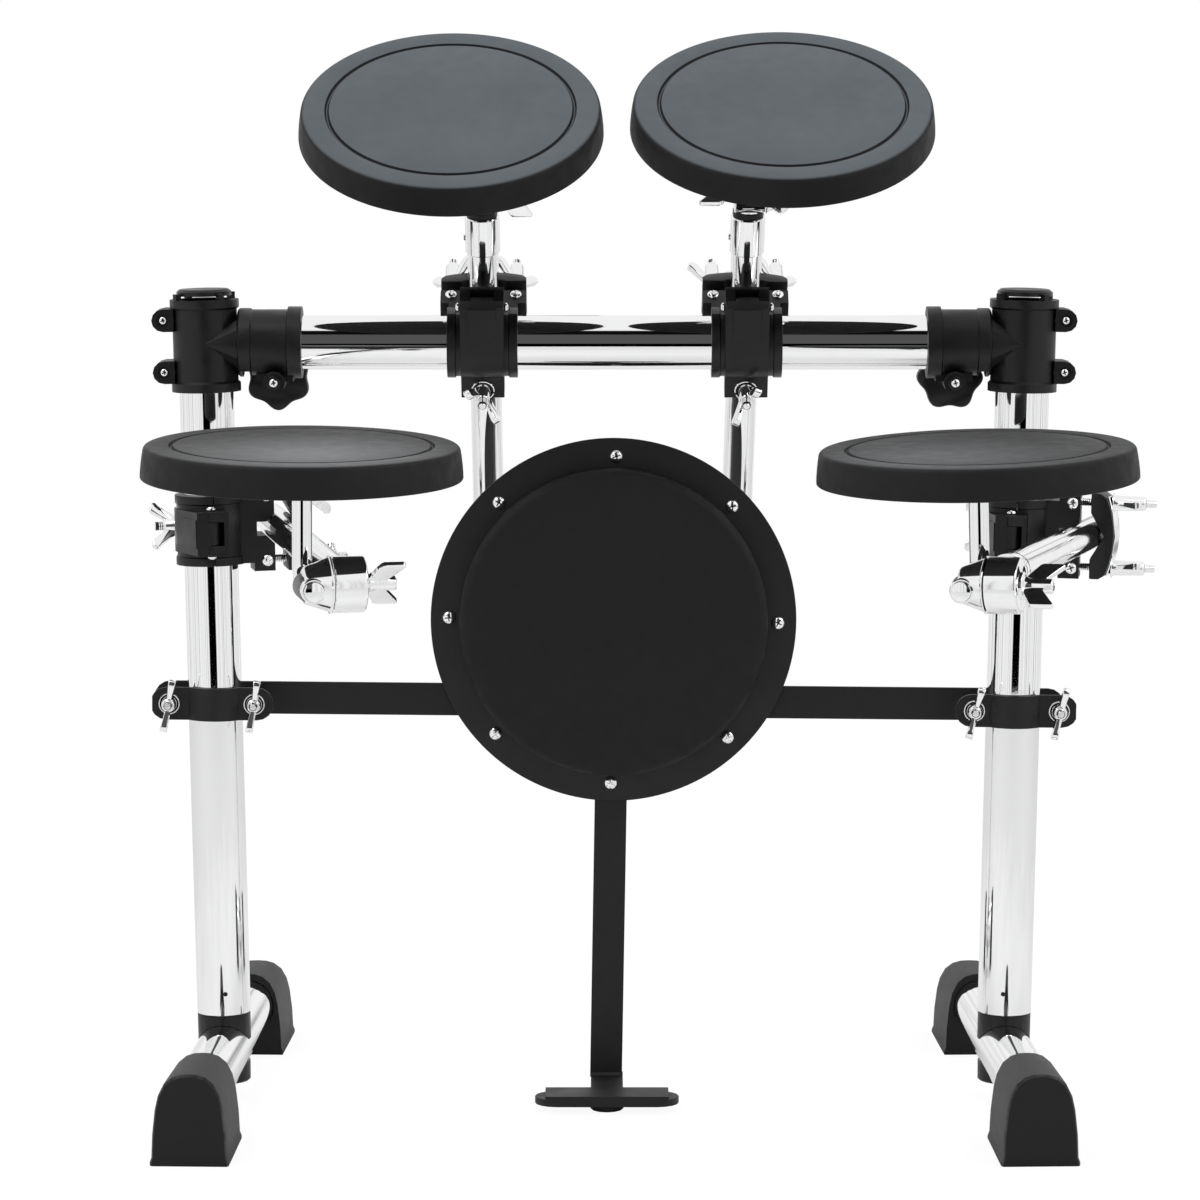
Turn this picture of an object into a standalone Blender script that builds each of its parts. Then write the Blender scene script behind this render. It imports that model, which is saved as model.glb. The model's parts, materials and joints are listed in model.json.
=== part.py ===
"""Practice pad kit: four rubber pads and an upright bass pad on a chrome tube rack.

X runs to the player's right, -Y points at the player and +Z is up. The floor is Z = 0, and the
plane of the two posts is Y = 0 before the whole model is centred on its own footprint.
Lengths are in millimetres and are turned into metres where an object is made.
"""
import math

import bmesh
import bpy
from mathutils import Matrix, Vector

MM = 0.001
GAP = 0.35                      # clearance between neighbouring pieces
FINE = 20                       # sides of the rack's tubes and housings
COARSE = 12                     # sides of rods, bosses and nuts
SMALL = 8                       # sides of bolts and their holes
PAD_SIDES = 30
BOLT_R = 3.0
BOLT_HOLE_R = BOLT_R + 0.4

# Rack
TUBE_R = 19.05                  # 1.5 inch rack tube
TUBE_WALL = 1.5
BAR_Z = 541.0                   # height of the top bar's axis
BAR_END_X = 258.0               # half length of the top bar
POST_X = 287.7                  # post axis at the height of the top bar
POST_LEAN = math.radians(1.07)  # each post leans outward towards its top
POST_TOP = 30.0                 # along the post, from the bar's axis
POST_BOTTOM = -478.5
BASE_TUBE_Z = 36.5
BASE_TOE = math.radians(2.3)    # base tubes splay towards the player
BASE_HALF = 200.0
BASE_OFFSET = 7.3               # middle of the base tube, behind the post

# Corner joints
TEE_R = 22.8
TEE_COLLAR_R = 24.4
TEE_TOP = 30.4
TEE_BOTTOM = -34.2
SOCKET_R = 24.2
SOCKET_PANEL_R = 23.3           # of the shallow recess round the socket
SOCKET_FLANGE_R = 25.4
SOCKET_END_X = 219.4
SOCKET_PANEL_X = (229.5, 254.8)
SOCKET_ROOT_X = 264.5
NOTCH_X = (255.3, 260.8)        # slit that lets the socket's lower half close
RAMP_REACH = (2.0, 23.5)        # of the pointed shoulders, from the post's axis
EAR_R = 8.0
EAR_OUT = 28.5
EAR_HALF_DEPTH = 12.5
EAR_HEIGHTS = (16.5, -20.0)
LUG_X = 238.5
LUG_DROP = -27.0
LUG_FRONT = 20.0
KNOB_R = 23.5
KNOB_VALLEY_R = 20.0
KNOB_LOBES = 6
KNOB_FRONT_Y = 27.0
KNOB_THICK = 13.0
HUB_PROUD = 2.3                 # of the star's front face
CAP_R = 19.3
CAP_Z = 33.0

# Rubber feet
FOOT_HALF_WIDTH = 26.8
FOOT_DEPTH = 86.0
FOOT_END = 223.3                # outer face of a foot, from the base tube's middle
FOOT_BACK_SLOPE = 3.0
# Height of the roof at the closed end, its rounded edge, the tube's end and the mouth
FOOT_ROOFS = {"front": (61.3, 63.0, 62.5, 60.7), "rear": (54.0, 55.4, 58.8, 60.7)}

# Cross bar and straps
STRIP_WIDTH = 23.2
STRIP_THICK = 3.0
CROSSBAR_Z = 283.7
CROSSBAR_ROLL = math.radians(0.53)
CROSSBAR_X = (-328.0, 321.0)
CROSSBAR_FRONT_Y = TUBE_R + GAP + 0.3
STRAP_HALF = 43.6
STRAP_BOLT_X = 30.0
STRAP_INNER_R = TUBE_R + 0.8
STRAP_EAR_Y = -11.5
STRAP_CENTRE_X = 284.4

# Bass pad
BASS_CENTRE = (-0.3, 342.2)
BASS_ROLL = math.radians(0.95)
BASS_PLATE_R = 130.0
BASS_PLATE_THICK = 2.0
BASS_PLATE_Y = 16.0             # back face of the steel plate
CUSHION_R = 109.5
CUSHION_DEPTH = 20.0
CUSHION_EDGE = 7.0
STRUT_WIDTH = 22.9
STRUT_TOP = 96.0
PEDAL_Y = (-24.5, -56.0)
PEDAL_BAR_HALF = 50.9
PEDAL_PLATE_HALF = 43.6
PEDAL_BAR_Z = (5.0, 10.0)
PEDAL_PLATE_TOP = 12.6
PEDAL_X = -5.2

# Clamps: x along the clamped tube, y towards the grip block, z towards the hinge
CLAMP_BORE_R = TUBE_R + GAP
CLAMP_RING_R = 23.7
CLAMP_FLANGE_R = 24.7
CLAMP_FLANGE = 5.7              # length of the flange at each end of the ring
CLAMP_HALF_LENGTH = 24.7
PARTING = 0.3                   # of jaw and body, each from the clamped tube's axis
HINGE_Y = -3.0
HINGE_Z = 33.0
HINGE_R = 7.5
HINGE_PIN_R = 2.5
TONGUE_HALF_LENGTH = 8.0
KNUCKLE_END = 15.4
COLUMN_Y = (5.0, 8.0)           # upright behind the knuckles
COLUMN_Z = 42.6
JAW_HALF_LENGTH = 15.2
JAW_BAND_R = 25.2
JAW_FRONT_Z = 40.5
JAW_FRONT_Y = -13.8
JAW_PANEL = (1.0, 26.0)         # raised panel, down the sloping face from its front corner
JAW_PANEL_HALF_LENGTH = 10.0
FOOT_Z = -36.0
CLOSING_BOLT_Z = -29.0
CLOSING_SEAT_Y = -17.0
CLOSING_BOLT_TIP = 36.0
BLOCK_HALF_LENGTH = 30.3
BLOCK_Y = (29.2, 44.0)
BLOCK_HALF_HEIGHT = 12.7
CHANNEL_HALF_WIDTH = 5.0
CHANNEL_Y = 31.2
GRIP_X = 22.9                   # grip bolts, along the clamped tube
GRIP_BOLT_ROOT_Y = 38.5
GRIP_BOLT_TIP_Y = 97.0
GRIP_PLATE_Y = 53.0
GRIP_PLATE_BELLY = 69.5
GRIP_PLATE_END = 62.5
GRIP_PLATE_HALF_HEIGHT = 13.3
ARM_OFFSET = 49.2               # centre of the gripped tube, from the clamped tube
ARM_R = 11.1
ARM_WALL = 1.6

# Tilters: x along the tilting axis, from the head that holds the rod to the wing nut
BARREL_R = 18.5
BARREL_LENGTH = 22.5
HEAD_LENGTH = 18.5
HEAD_END_R = 12.0
BOSS_R = 9.5                    # of the boss through the head, which holds the rod's lying leg
BOSS_BACK = 12.0
FLANGE_R = 8.2
FLANGE_FRONT = 14.8
ROD_R = 6.6
ROD_CORNER_R = 13.0             # at the rod's centre line
ROD_DROP = 2.0                  # of the leg, below the tilting axis
ROD_PROUD = 3.0                 # of the leg's end, in front of its flange

# Pads
PAD_R = 105.4
PAD_TOP_R = 103.6               # of the flank, where it turns over into the face
PAD_EDGE = 3.0
PAD_THICK = 22.0
PAD_GROOVE_R = 85.3

# Upper pads: the clamp turned about the bar, the tube that leans to the player
UPPER_TURN = math.radians(33.4)
UPPER_SLANT = math.radians(12.9)
UPPER_TUBE_BOTTOM = -182.8
UPPER_TUBE_TOP = 59.2
SLEEVE_BOTTOM = 38.0
SLEEVE_TOP = 65.7
SLEEVE_R = 12.3
SLEEVE_NECK_R = 10.3
SLEEVE_SCREW_Z = 49.0
UPPER_TILTER_AT = 87.2
UPPER_UNITS = {
    "upper_left": {"x": -92.6, "side": -1, "sway": math.radians(0.6), "tilt": math.radians(30.1),
                   "face": 82.9, "rod": 8.5, "back": -30.0, "slip": 0.5, "nut_turn": math.radians(0.0)},
    "upper_right": {"x": 92.8, "side": 1, "sway": math.radians(1.3), "tilt": math.radians(28.4),
                    "face": 84.6, "rod": 10.0, "back": -30.0, "slip": 0.0, "nut_turn": math.radians(-60.0)},
}

# Lower pads: the clamp on a post, the arm that runs forward from it.  The slant and pitch are the arm's in
# the grip, the yaw and roll are the tilting axis's, the slip is the barrel's along that axis.
LOWER_UNITS = {
    "lower_left": {"side": -1, "z": 409.5, "turn": math.radians(11.0), "slant": math.radians(1.3),
                   "pitch": math.radians(1.75), "reach": 302.5, "drop": -1.0, "slip": -1.7,
                   "yaw": math.radians(13.3), "roll": 0.0, "tilt": math.radians(2.6),
                   "rod": 13.6, "back": 30.0, "face": 87.9, "nut_turn": math.radians(50.0)},
    "lower_right": {"side": 1, "z": 406.8, "turn": math.radians(8.0), "slant": math.radians(-7.4),
                    "pitch": math.radians(-0.86), "reach": 311.0, "drop": 7.3, "slip": 0.2,
                    "yaw": math.radians(-18.0), "roll": math.radians(1.0), "tilt": math.radians(2.6),
                    "rod": 14.5, "back": 36.0, "face": 85.0, "nut_turn": math.radians(-60.0)},
}
ARM_BACK = 44.0                 # of the arm, behind the grip block's middle
NECK_LENGTH = 12.0              # of the flare between arm and barrel

TO_X = Matrix.Rotation(math.radians(90.0), 4, "Y")
TO_FRONT = Matrix.Rotation(math.radians(90.0), 4, "X")
TO_BACK = Matrix.Rotation(math.radians(-90.0), 4, "X")
# Carries a prism drawn in (y, z) and extruded along its own z, so that it runs along x
YZ_TO_X = Matrix(((0.0, 0.0, 1.0, 0.0), (1.0, 0.0, 0.0, 0.0), (0.0, 1.0, 0.0, 0.0), (0.0, 0.0, 0.0, 1.0)))

# Colour, metallic and roughness of each finish
FINISHES = {
    "chrome": ((0.80, 0.81, 0.82, 1.0), 1.0, 0.08),
    "black_plastic": ((0.018, 0.018, 0.020, 1.0), 0.0, 0.42),
    "black_steel": ((0.014, 0.014, 0.016, 1.0), 0.0, 0.36),
    "grey_rubber": ((0.075, 0.085, 0.095, 1.0), 0.0, 0.62),
    "black_rubber": ((0.020, 0.020, 0.022, 1.0), 0.0, 0.70),
}


# Solids

def join_rings(bm, first, second):
    """Skin two neighbouring rings of a turned solid; a ring on the axis is a single point."""
    count = max(len(first), len(second))
    if count == 1:
        return
    for k in range(count):
        n = (k + 1) % count
        if len(first) == 1:
            bm.faces.new((first[0], second[k], second[n]))
        elif len(second) == 1:
            bm.faces.new((first[k], second[0], first[n]))
        else:
            bm.faces.new((first[k], second[k], second[n], first[n]))


def turned(profile, sides):
    """Solid of revolution about Z, from a closed outline of (radius, height) points."""
    bm = bmesh.new()
    rings = []
    for radius, height in profile:
        if radius < 1e-6:
            rings.append([bm.verts.new((0.0, 0.0, height))])
            continue
        angles = [2.0 * math.pi * k / sides for k in range(sides)]
        rings.append([bm.verts.new((radius * math.cos(a), radius * math.sin(a), height)) for a in angles])
    for first, second in zip(rings, rings[1:] + rings[:1]):
        join_rings(bm, first, second)
    bmesh.ops.recalc_face_normals(bm, faces=bm.faces)
    return bm


def disc(radius, bottom, top, sides=COARSE):
    """Plain cylinder about Z."""
    return prism(arc((0.0, 0.0), radius, 0.0, 360.0 - 360.0 / sides, sides - 1), bottom, top)


def tube(inner, outer, bottom, top, sides=FINE):
    """Open tube about Z."""
    return turned([(inner, bottom), (outer, bottom), (outer, top), (inner, top)], sides)


def prism(outline, bottom, top):
    """Outline of (x, y) points, extruded from bottom to top along Z."""
    bm = bmesh.new()
    low = [bm.verts.new((x, y, bottom)) for x, y in outline]
    high = [bm.verts.new((x, y, top)) for x, y in outline]
    bm.faces.new(low)
    bm.faces.new(high)
    for k in range(len(outline)):
        n = (k + 1) % len(outline)
        bm.faces.new((low[k], low[n], high[n], high[k]))
    bmesh.ops.recalc_face_normals(bm, faces=bm.faces)
    return bm


def box(x, y, z):
    """Block between pairs of x, y and z."""
    return prism([(x[0], y[0]), (x[1], y[0]), (x[1], y[1]), (x[0], y[1])], z[0], z[1])


def arc(centre, radius, start, end, steps):
    """Points on an arc, angles in degrees."""
    angles = [math.radians(start + (end - start) * k / steps) for k in range(steps + 1)]
    return [(centre[0] + radius * math.cos(a), centre[1] + radius * math.sin(a)) for a in angles]


def loft(sections):
    """Skin between outlines of equal length, given as lists of (x, y, z) points."""
    bm = bmesh.new()
    rows = [[bm.verts.new(point) for point in section] for section in sections]
    for first, second in zip(rows, rows[1:]):
        for k in range(len(first)):
            n = (k + 1) % len(first)
            bm.faces.new((first[k], first[n], second[n], second[k]))
    bm.faces.new(rows[0])
    bm.faces.new(rows[-1])
    bmesh.ops.recalc_face_normals(bm, faces=bm.faces)
    return bm


def moved(bm, matrix):
    """The same solid, carried by a matrix; a mirroring matrix keeps its faces pointing out."""
    bm.transform(matrix)
    if matrix.determinant() < 0.0:
        bmesh.ops.reverse_faces(bm, faces=bm.faces)
    return bm


def shift(x=0.0, y=0.0, z=0.0):
    return Matrix.Translation((x, y, z))


def scratch_object(bm):
    """Temporary object that holds one side of a Boolean."""
    mesh = bpy.data.meshes.new("scratch")
    bm.to_mesh(mesh)
    bm.free()
    obj = bpy.data.objects.new("scratch", mesh)
    bpy.context.scene.collection.objects.link(obj)
    return obj


def combine(first, second, operation):
    """Boolean of two closed solids, which are used up."""
    base = scratch_object(first)
    tool = scratch_object(second)
    modifier = base.modifiers.new("combine", "BOOLEAN")
    modifier.operation = operation
    modifier.solver = "EXACT"
    modifier.object = tool
    result = bmesh.new()
    result.from_object(base, bpy.context.evaluated_depsgraph_get())
    for obj in (base, tool):
        mesh = obj.data
        bpy.data.objects.remove(obj)
        bpy.data.meshes.remove(mesh)
    bmesh.ops.remove_doubles(result, verts=result.verts, dist=0.002)
    return result


def joined(*solids):
    result = solids[0]
    for solid in solids[1:]:
        result = combine(result, solid, "UNION")
    return result


def cut(solid, *cutters):
    for cutter in cutters:
        solid = combine(solid, cutter, "DIFFERENCE")
    return solid


def common(first, second):
    return combine(first, second, "INTERSECT")


# Objects

def material(finish):
    found = bpy.data.materials.get(finish)
    if found:
        return found
    colour, metallic, roughness = FINISHES[finish]
    made = bpy.data.materials.new(finish)
    made.use_nodes = True
    shader = made.node_tree.nodes["Principled BSDF"]
    shader.inputs["Base Color"].default_value = colour
    shader.inputs["Metallic"].default_value = metallic
    shader.inputs["Roughness"].default_value = roughness
    made.diffuse_color = colour
    return made


def piece(name, bm, finish, frame):
    """One sub-part: a solid in millimetres about its own origin, placed by a frame in millimetres."""
    bmesh.ops.dissolve_limit(bm, angle_limit=math.radians(0.15), verts=bm.verts, edges=bm.edges)
    bmesh.ops.triangulate(bm, faces=bm.faces, quad_method="BEAUTY", ngon_method="BEAUTY")
    bmesh.ops.dissolve_degenerate(bm, dist=0.001, edges=bm.edges)
    bm.transform(Matrix.Scale(MM, 4))
    mesh = bpy.data.meshes.new(name)
    bm.to_mesh(mesh)
    bm.free()
    mesh.shade_smooth()
    mesh.set_sharp_from_angle(angle=math.radians(35.0))
    mesh.materials.append(material(finish))
    obj = bpy.data.objects.new(name, mesh)
    bpy.context.scene.collection.objects.link(obj)
    location, rotation, _ = frame.decompose()
    obj.location = location * MM
    obj.rotation_mode = "QUATERNION"
    obj.rotation_quaternion = rotation
    return obj


def axes_frame(origin, x_axis, y_axis, z_axis):
    """Frame from an origin and three unit vectors."""
    rotation = Matrix((x_axis, y_axis, z_axis)).transposed().to_4x4()
    return Matrix.Translation(origin) @ rotation


# Where things are

def post_frame(side):
    """Origin where the post meets the top bar, z up the post."""
    return shift(side * POST_X, 0.0, BAR_Z) @ Matrix.Rotation(side * POST_LEAN, 4, "Y")


def post_point(side, height):
    """Point of the post's axis at a height above the floor."""
    return Vector((side * (POST_X - (BAR_Z - height) * math.tan(POST_LEAN)), 0.0, height))


def base_frame(side):
    """Origin under the post on the base tube's axis, y to the back."""
    foot = post_point(side, BASE_TUBE_Z)
    return Matrix.Translation(foot) @ Matrix.Rotation(side * BASE_TOE, 4, "Z")


def foot_frame(side, end):
    """Origin on the floor at the middle of a foot's closed outer face, y towards the post."""
    turn = Matrix.Rotation(math.pi if end > 0.0 else 0.0, 4, "Z")
    return base_frame(side) @ shift(0.0, BASE_OFFSET + end * FOOT_END, -BASE_TUBE_Z) @ turn


def upper_clamp_frame(unit):
    x_axis = Vector((1.0, 0.0, 0.0))
    z_axis = Vector((0.0, -math.sin(UPPER_TURN), math.cos(UPPER_TURN)))
    y_axis = z_axis.cross(x_axis)
    return axes_frame(Vector((unit["x"], 0.0, BAR_Z)), x_axis, y_axis, z_axis)


def lower_clamp_frame(unit):
    side = unit["side"]
    x_axis = -(post_frame(side).to_3x3() @ Vector((0.0, 0.0, 1.0)))
    heading = Vector((-side * math.sin(unit["turn"]), -math.cos(unit["turn"]), 0.0))
    z_axis = (heading - heading.dot(x_axis) * x_axis).normalized()
    y_axis = z_axis.cross(x_axis)
    return axes_frame(post_point(side, unit["z"]), x_axis, y_axis, z_axis)


def grip_frame(name):
    """Gripped tube in its clamp: origin level with the clamp's middle, z along the tube."""
    if name in UPPER_UNITS:
        unit = UPPER_UNITS[name]
        sway = Matrix.Rotation(unit["side"] * unit["sway"], 4, "Y")
        return shift(y=ARM_OFFSET) @ Matrix.Rotation(-UPPER_SLANT, 4, "X") @ sway
    unit = LOWER_UNITS[name]
    pitch = Matrix.Rotation(unit["pitch"], 4, "Y")
    return shift(y=ARM_OFFSET) @ Matrix.Rotation(-unit["slant"], 4, "X") @ pitch


def tube_frame(name):
    """Gripped tube: origin level with the clamp's middle, z along the tube to its tilter."""
    return CLAMP_FRAMES[name] @ grip_frame(name)


def tilter_hand(name):
    """-1 where the head is on the right of its barrel, else 1."""
    return -1.0 if name == "upper_right" else 1.0


def tilter_frame(name):
    """Origin at the middle of the face between head and barrel, x along the tilting axis to the right."""
    if name in UPPER_UNITS:
        middle = tube_frame(name) @ Vector((0.0, 0.0, UPPER_TILTER_AT))
        slip = UPPER_UNITS[name]["slip"] - tilter_hand(name) * BARREL_LENGTH / 2.0
        return Matrix.Translation(middle) @ shift(slip)
    unit = LOWER_UNITS[name]
    end = tube_frame(name) @ Vector((0.0, 0.0, unit["reach"]))
    turn = Matrix.Rotation(unit["yaw"], 4, "Z") @ Matrix.Rotation(-unit["roll"], 4, "Y")
    return Matrix.Translation(end) @ turn @ shift(unit["slip"] - BARREL_LENGTH / 2.0, 0.0, -unit["drop"])


def head_frame(name):
    """The tilter's frame turned with its head: z is the direction of the pad's rod."""
    unit = UPPER_UNITS.get(name) or LOWER_UNITS[name]
    return tilter_frame(name) @ Matrix.Rotation(unit["tilt"], 4, "X")


def rod_frame(name):
    """Origin on the rod's axis, level with the tilting axis, z to the pad."""
    unit = UPPER_UNITS.get(name) or LOWER_UNITS[name]
    return head_frame(name) @ shift(-tilter_hand(name) * unit["rod"], unit["back"])


# Tubes of the rack

def make_posts():
    for side, word in SIDES:
        post = tube(TUBE_R - TUBE_WALL, TUBE_R, POST_BOTTOM, POST_TOP)
        piece(f"{word}_post", post, "chrome", post_frame(side))


def make_top_bar():
    bar = tube(TUBE_R - TUBE_WALL, TUBE_R, -BAR_END_X, BAR_END_X)
    piece("top_bar", bar, "chrome", shift(z=BAR_Z) @ TO_X)


def make_base_tubes():
    for side, word in SIDES:
        base = tube(TUBE_R - TUBE_WALL, TUBE_R, BASE_OFFSET - BASE_HALF, BASE_OFFSET + BASE_HALF)
        hole = disc(BOLT_HOLE_R, -TUBE_R - 2.0, TUBE_R + 2.0, SMALL)
        piece(f"{word}_base_tube", cut(moved(base, TO_BACK), hole), "chrome", base_frame(side))


# Corner joints

def tee_column(side):
    """Upright half of a corner joint, in the post's frame."""
    column = turned([
        (0.0, TEE_BOTTOM), (TEE_COLLAR_R, TEE_BOTTOM), (TEE_COLLAR_R, TEE_BOTTOM + 6.0),
        (TEE_R, TEE_BOTTOM + 7.5), (TEE_R, TEE_TOP - 7.0), (TEE_COLLAR_R, TEE_TOP - 5.5),
        (TEE_COLLAR_R, TEE_TOP), (0.0, TEE_TOP)], FINE)
    for height in EAR_HEIGHTS:
        depth = (-EAR_HALF_DEPTH, EAR_HALF_DEPTH)
        ear = moved(disc(EAR_R, *depth), shift(side * EAR_OUT, 0.0, height) @ TO_FRONT)
        reach = sorted((side * (TUBE_R + 2.0), side * EAR_OUT))
        root = box(reach, depth, (height - EAR_R, height + EAR_R))
        column = joined(column, joined(root, ear))
    return column


def tee_branch(side):
    """Lying half of a corner joint, along the top bar, from the bar's middle outward."""
    panel_start, panel_end = SOCKET_PANEL_X
    branch = turned([
        (0.0, SOCKET_END_X), (SOCKET_FLANGE_R, SOCKET_END_X), (SOCKET_FLANGE_R, panel_start - 0.4),
        (SOCKET_PANEL_R, panel_start + 0.4), (SOCKET_PANEL_R, panel_end - 0.4), (SOCKET_R, panel_end + 0.4),
        (SOCKET_R, SOCKET_ROOT_X - 1.5), (SOCKET_R - 1.5, SOCKET_ROOT_X), (0.0, SOCKET_ROOT_X)], FINE)
    branch = moved(branch, Matrix.Scale(side, 4, (1.0, 0.0, 0.0)) @ TO_X)
    lug = moved(disc(EAR_R, -KNOB_FRONT_Y + 0.8, LUG_FRONT), shift(side * LUG_X, 0.0, LUG_DROP) @ TO_FRONT)
    saddle = box(sorted((side * (LUG_X - 13.0), side * (LUG_X + 13.0))), (-9.0, 9.0), (LUG_DROP, -18.0))
    return joined(branch, saddle, lug)


def tee_shoulder(side, face):
    """Cone that widens from a point on the column's front or back to the root of the socket."""
    sections = []
    for reach, centre, radius in zip(RAMP_REACH, (TEE_R - 0.9, 4.0), (1.0, 19.6)):
        ring = arc((0.0, 0.0), radius, 0.0, 330.0, COARSE - 1)
        sections.append([(-side * reach, face * (centre + y), z) for y, z in ring])
    return loft(sections)


def make_tees():
    for side, word in SIDES:
        lean = Matrix.Rotation(side * POST_LEAN, 4, "Y")
        along_bar = shift(-side * POST_X)
        body = joined(moved(tee_column(side), lean), moved(tee_branch(side), along_bar),
                      tee_shoulder(side, -1.0), tee_shoulder(side, 1.0))
        post_bore = moved(disc(CLAMP_BORE_R, TEE_BOTTOM - 5.0, TEE_TOP + 5.0, FINE), lean)
        bar_bore = moved(disc(CLAMP_BORE_R, 200.0, BAR_END_X + 1.0, FINE),
                         along_bar @ Matrix.Scale(side, 4, (1.0, 0.0, 0.0)) @ TO_X)
        ear_slit = box(sorted((side * 10.0, side * 40.0)), (-1.4, 1.4), (TEE_BOTTOM - 5.0, TEE_TOP + 5.0))
        lug_slit = moved(box(sorted((side * (SOCKET_END_X - 2.0), side * (NOTCH_X[0] + 1.0))), (-1.4, 1.4),
                             (LUG_DROP - 15.0, -10.0)), along_bar)
        flex_slit = box(sorted((side * NOTCH_X[0], side * NOTCH_X[1])), (-30.0, 30.0), (-40.0, -19.6))
        lug_hole = moved(disc(BOLT_HOLE_R, -40.0, 40.0, SMALL), shift(side * LUG_X, 0.0, LUG_DROP) @ TO_FRONT)
        body = cut(body, post_bore, bar_bore, moved(ear_slit, lean), lug_slit, moved(flex_slit, along_bar),
                   moved(lug_hole, along_bar))
        for height in EAR_HEIGHTS:
            well = moved(disc(4.6, 11.0, 16.0, SMALL), lean @ shift(side * EAR_OUT, 0.0, height) @ TO_FRONT)
            body = cut(body, well)
        body = joined(body, tee_cap(side, lean))
        piece(f"{word}_tee", body, "black_plastic", shift(side * POST_X, 0.0, BAR_Z))


def tee_cap(side, lean):
    """Cap over the post's open end, clipped to the collar by four small tabs."""
    low = CAP_Z
    cap = turned([(0.0, low), (CAP_R, low), (CAP_R, low + 3.0), (CAP_R - 2.0, low + 4.6), (0.0, low + 5.2)], 16)
    reach = (CLAMP_BORE_R + TEE_COLLAR_R) / 2.0
    for turn in (35.0, 125.0, 215.0, 305.0):
        tab = prism([(2.2, TEE_TOP - 1.0), (2.2, low + 1.8), (-5.0, low + 1.8), (-5.0, low + 0.3),
                     (-2.2, low + 0.3), (-2.2, TEE_TOP - 1.0)], -2.0, 2.0)
        cap = joined(cap, moved(tab, Matrix.Rotation(math.radians(turn), 4, "Z") @ shift(reach) @ TO_FRONT))
    return moved(cap, lean)


def star_outline(turn):
    """Six soft lobes, the first one at an angle from the top."""
    points = []
    steps = 4 * KNOB_LOBES
    for k in range(steps):
        around = 2.0 * math.pi * k / steps
        swell = (1.0 + math.cos(KNOB_LOBES * around)) / 2.0
        radius = KNOB_VALLEY_R + (KNOB_R - KNOB_VALLEY_R) * swell
        angle = around + turn + math.radians(90.0)
        points.append((radius * math.cos(angle), radius * math.sin(angle)))
    return points


def make_star_knobs():
    for side, word in SIDES:
        turn = 0.0 if side < 0 else math.pi / KNOB_LOBES
        star = prism(star_outline(turn), -KNOB_THICK, 0.0)
        hub = disc(9.0, -KNOB_THICK - 3.0, HUB_PROUD - 0.3)
        dish = disc(12.5, -KNOB_THICK - 1.0, -KNOB_THICK + 2.0)
        tip = KNOB_FRONT_Y + HUB_PROUD + LUG_FRONT + GAP
        bolt = disc(BOLT_R, -1.0, tip + 1.0, SMALL)
        head = disc(5.0, tip, tip + 3.0, SMALL)
        knob = joined(cut(star, dish), hub, bolt, head)
        at = shift(side * LUG_X, KNOB_FRONT_Y + HUB_PROUD, BAR_Z + LUG_DROP) @ TO_FRONT
        piece(f"{word}_star_knob", knob, "black_plastic", at)


# Base

def make_saddles():
    """Collar between post and base tube, bolted through the tube to a cap under it."""
    for side, word in SIDES:
        lean_back = base_frame(side).inverted() @ post_frame(side)
        collar = moved(disc(TUBE_R - 0.2, POST_BOTTOM - GAP - 19.0, POST_BOTTOM - GAP, FINE), lean_back)
        spigot = moved(disc(TUBE_R - TUBE_WALL - GAP, POST_BOTTOM - 4.0, POST_BOTTOM + 12.0, FINE), lean_back)
        under = turned([(0.0, -23.5), (17.0, -23.5), (18.3, -22.2), (18.3, -9.0), (0.0, -9.0)], FINE)
        bolt = disc(BOLT_R, -22.0, TUBE_R + 3.0, SMALL)
        round_tube = moved(disc(TUBE_R + GAP, -60.0, 60.0, FINE), TO_BACK)
        body = joined(cut(joined(collar, spigot, under), round_tube), bolt)
        piece(f"{word}_saddle", body, "black_plastic", base_frame(side))


def foot_arch(scale, roof):
    """A foot's arched outline, sole flat on the floor, as (x, height) points."""
    shape = [(1.0, 0.0), (1.0, 0.04), (0.955, 0.09), (0.93, 0.34), (0.86, 0.61), (0.78, 0.76), (0.63, 0.89),
             (0.42, 0.965), (0.20, 0.995), (0.0, 1.0)]
    half = [(FOOT_HALF_WIDTH * scale * width, roof * height) for width, height in shape]
    return half + [(-width, height) for width, height in reversed(half[:-1])]


def foot_solid(roofs):
    """Rubber boot on the end of a base tube: closed outer face at y = 0, tube side at +y."""
    sections = []
    for roof, scale, slide, slope in zip(roofs, (0.95, 1.0, 1.0, 0.98), (0.0, 2.5, 20.0, FOOT_DEPTH),
                                         (0.0, 0.0, 0.0, FOOT_BACK_SLOPE)):
        sections.append([(x, slide - slope * height / roof, height) for x, height in foot_arch(scale, roof)])
    socket = moved(disc(TUBE_R + GAP, FOOT_END - BASE_HALF - GAP, FOOT_DEPTH + 10.0, FINE),
                   shift(z=BASE_TUBE_Z) @ TO_BACK)
    return cut(loft(sections), socket)


def make_feet():
    for side, word in SIDES:
        for end, place in ((-1.0, "front"), (1.0, "rear")):
            piece(f"{word}_{place}_foot", foot_solid(FOOT_ROOFS[place]), "black_rubber", foot_frame(side, end))


# Cross bar, straps and their nuts

def stadium(left, right, half_width):
    """Strip outline with full round ends."""
    outline = arc((right - half_width, 0.0), half_width, -90.0, 90.0, SMALL)
    return outline + arc((left + half_width, 0.0), half_width, 90.0, 270.0, SMALL)


def crossbar_frame():
    return shift(0.0, CROSSBAR_FRONT_Y, CROSSBAR_Z) @ Matrix.Rotation(CROSSBAR_ROLL, 4, "Y") @ TO_FRONT


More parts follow.
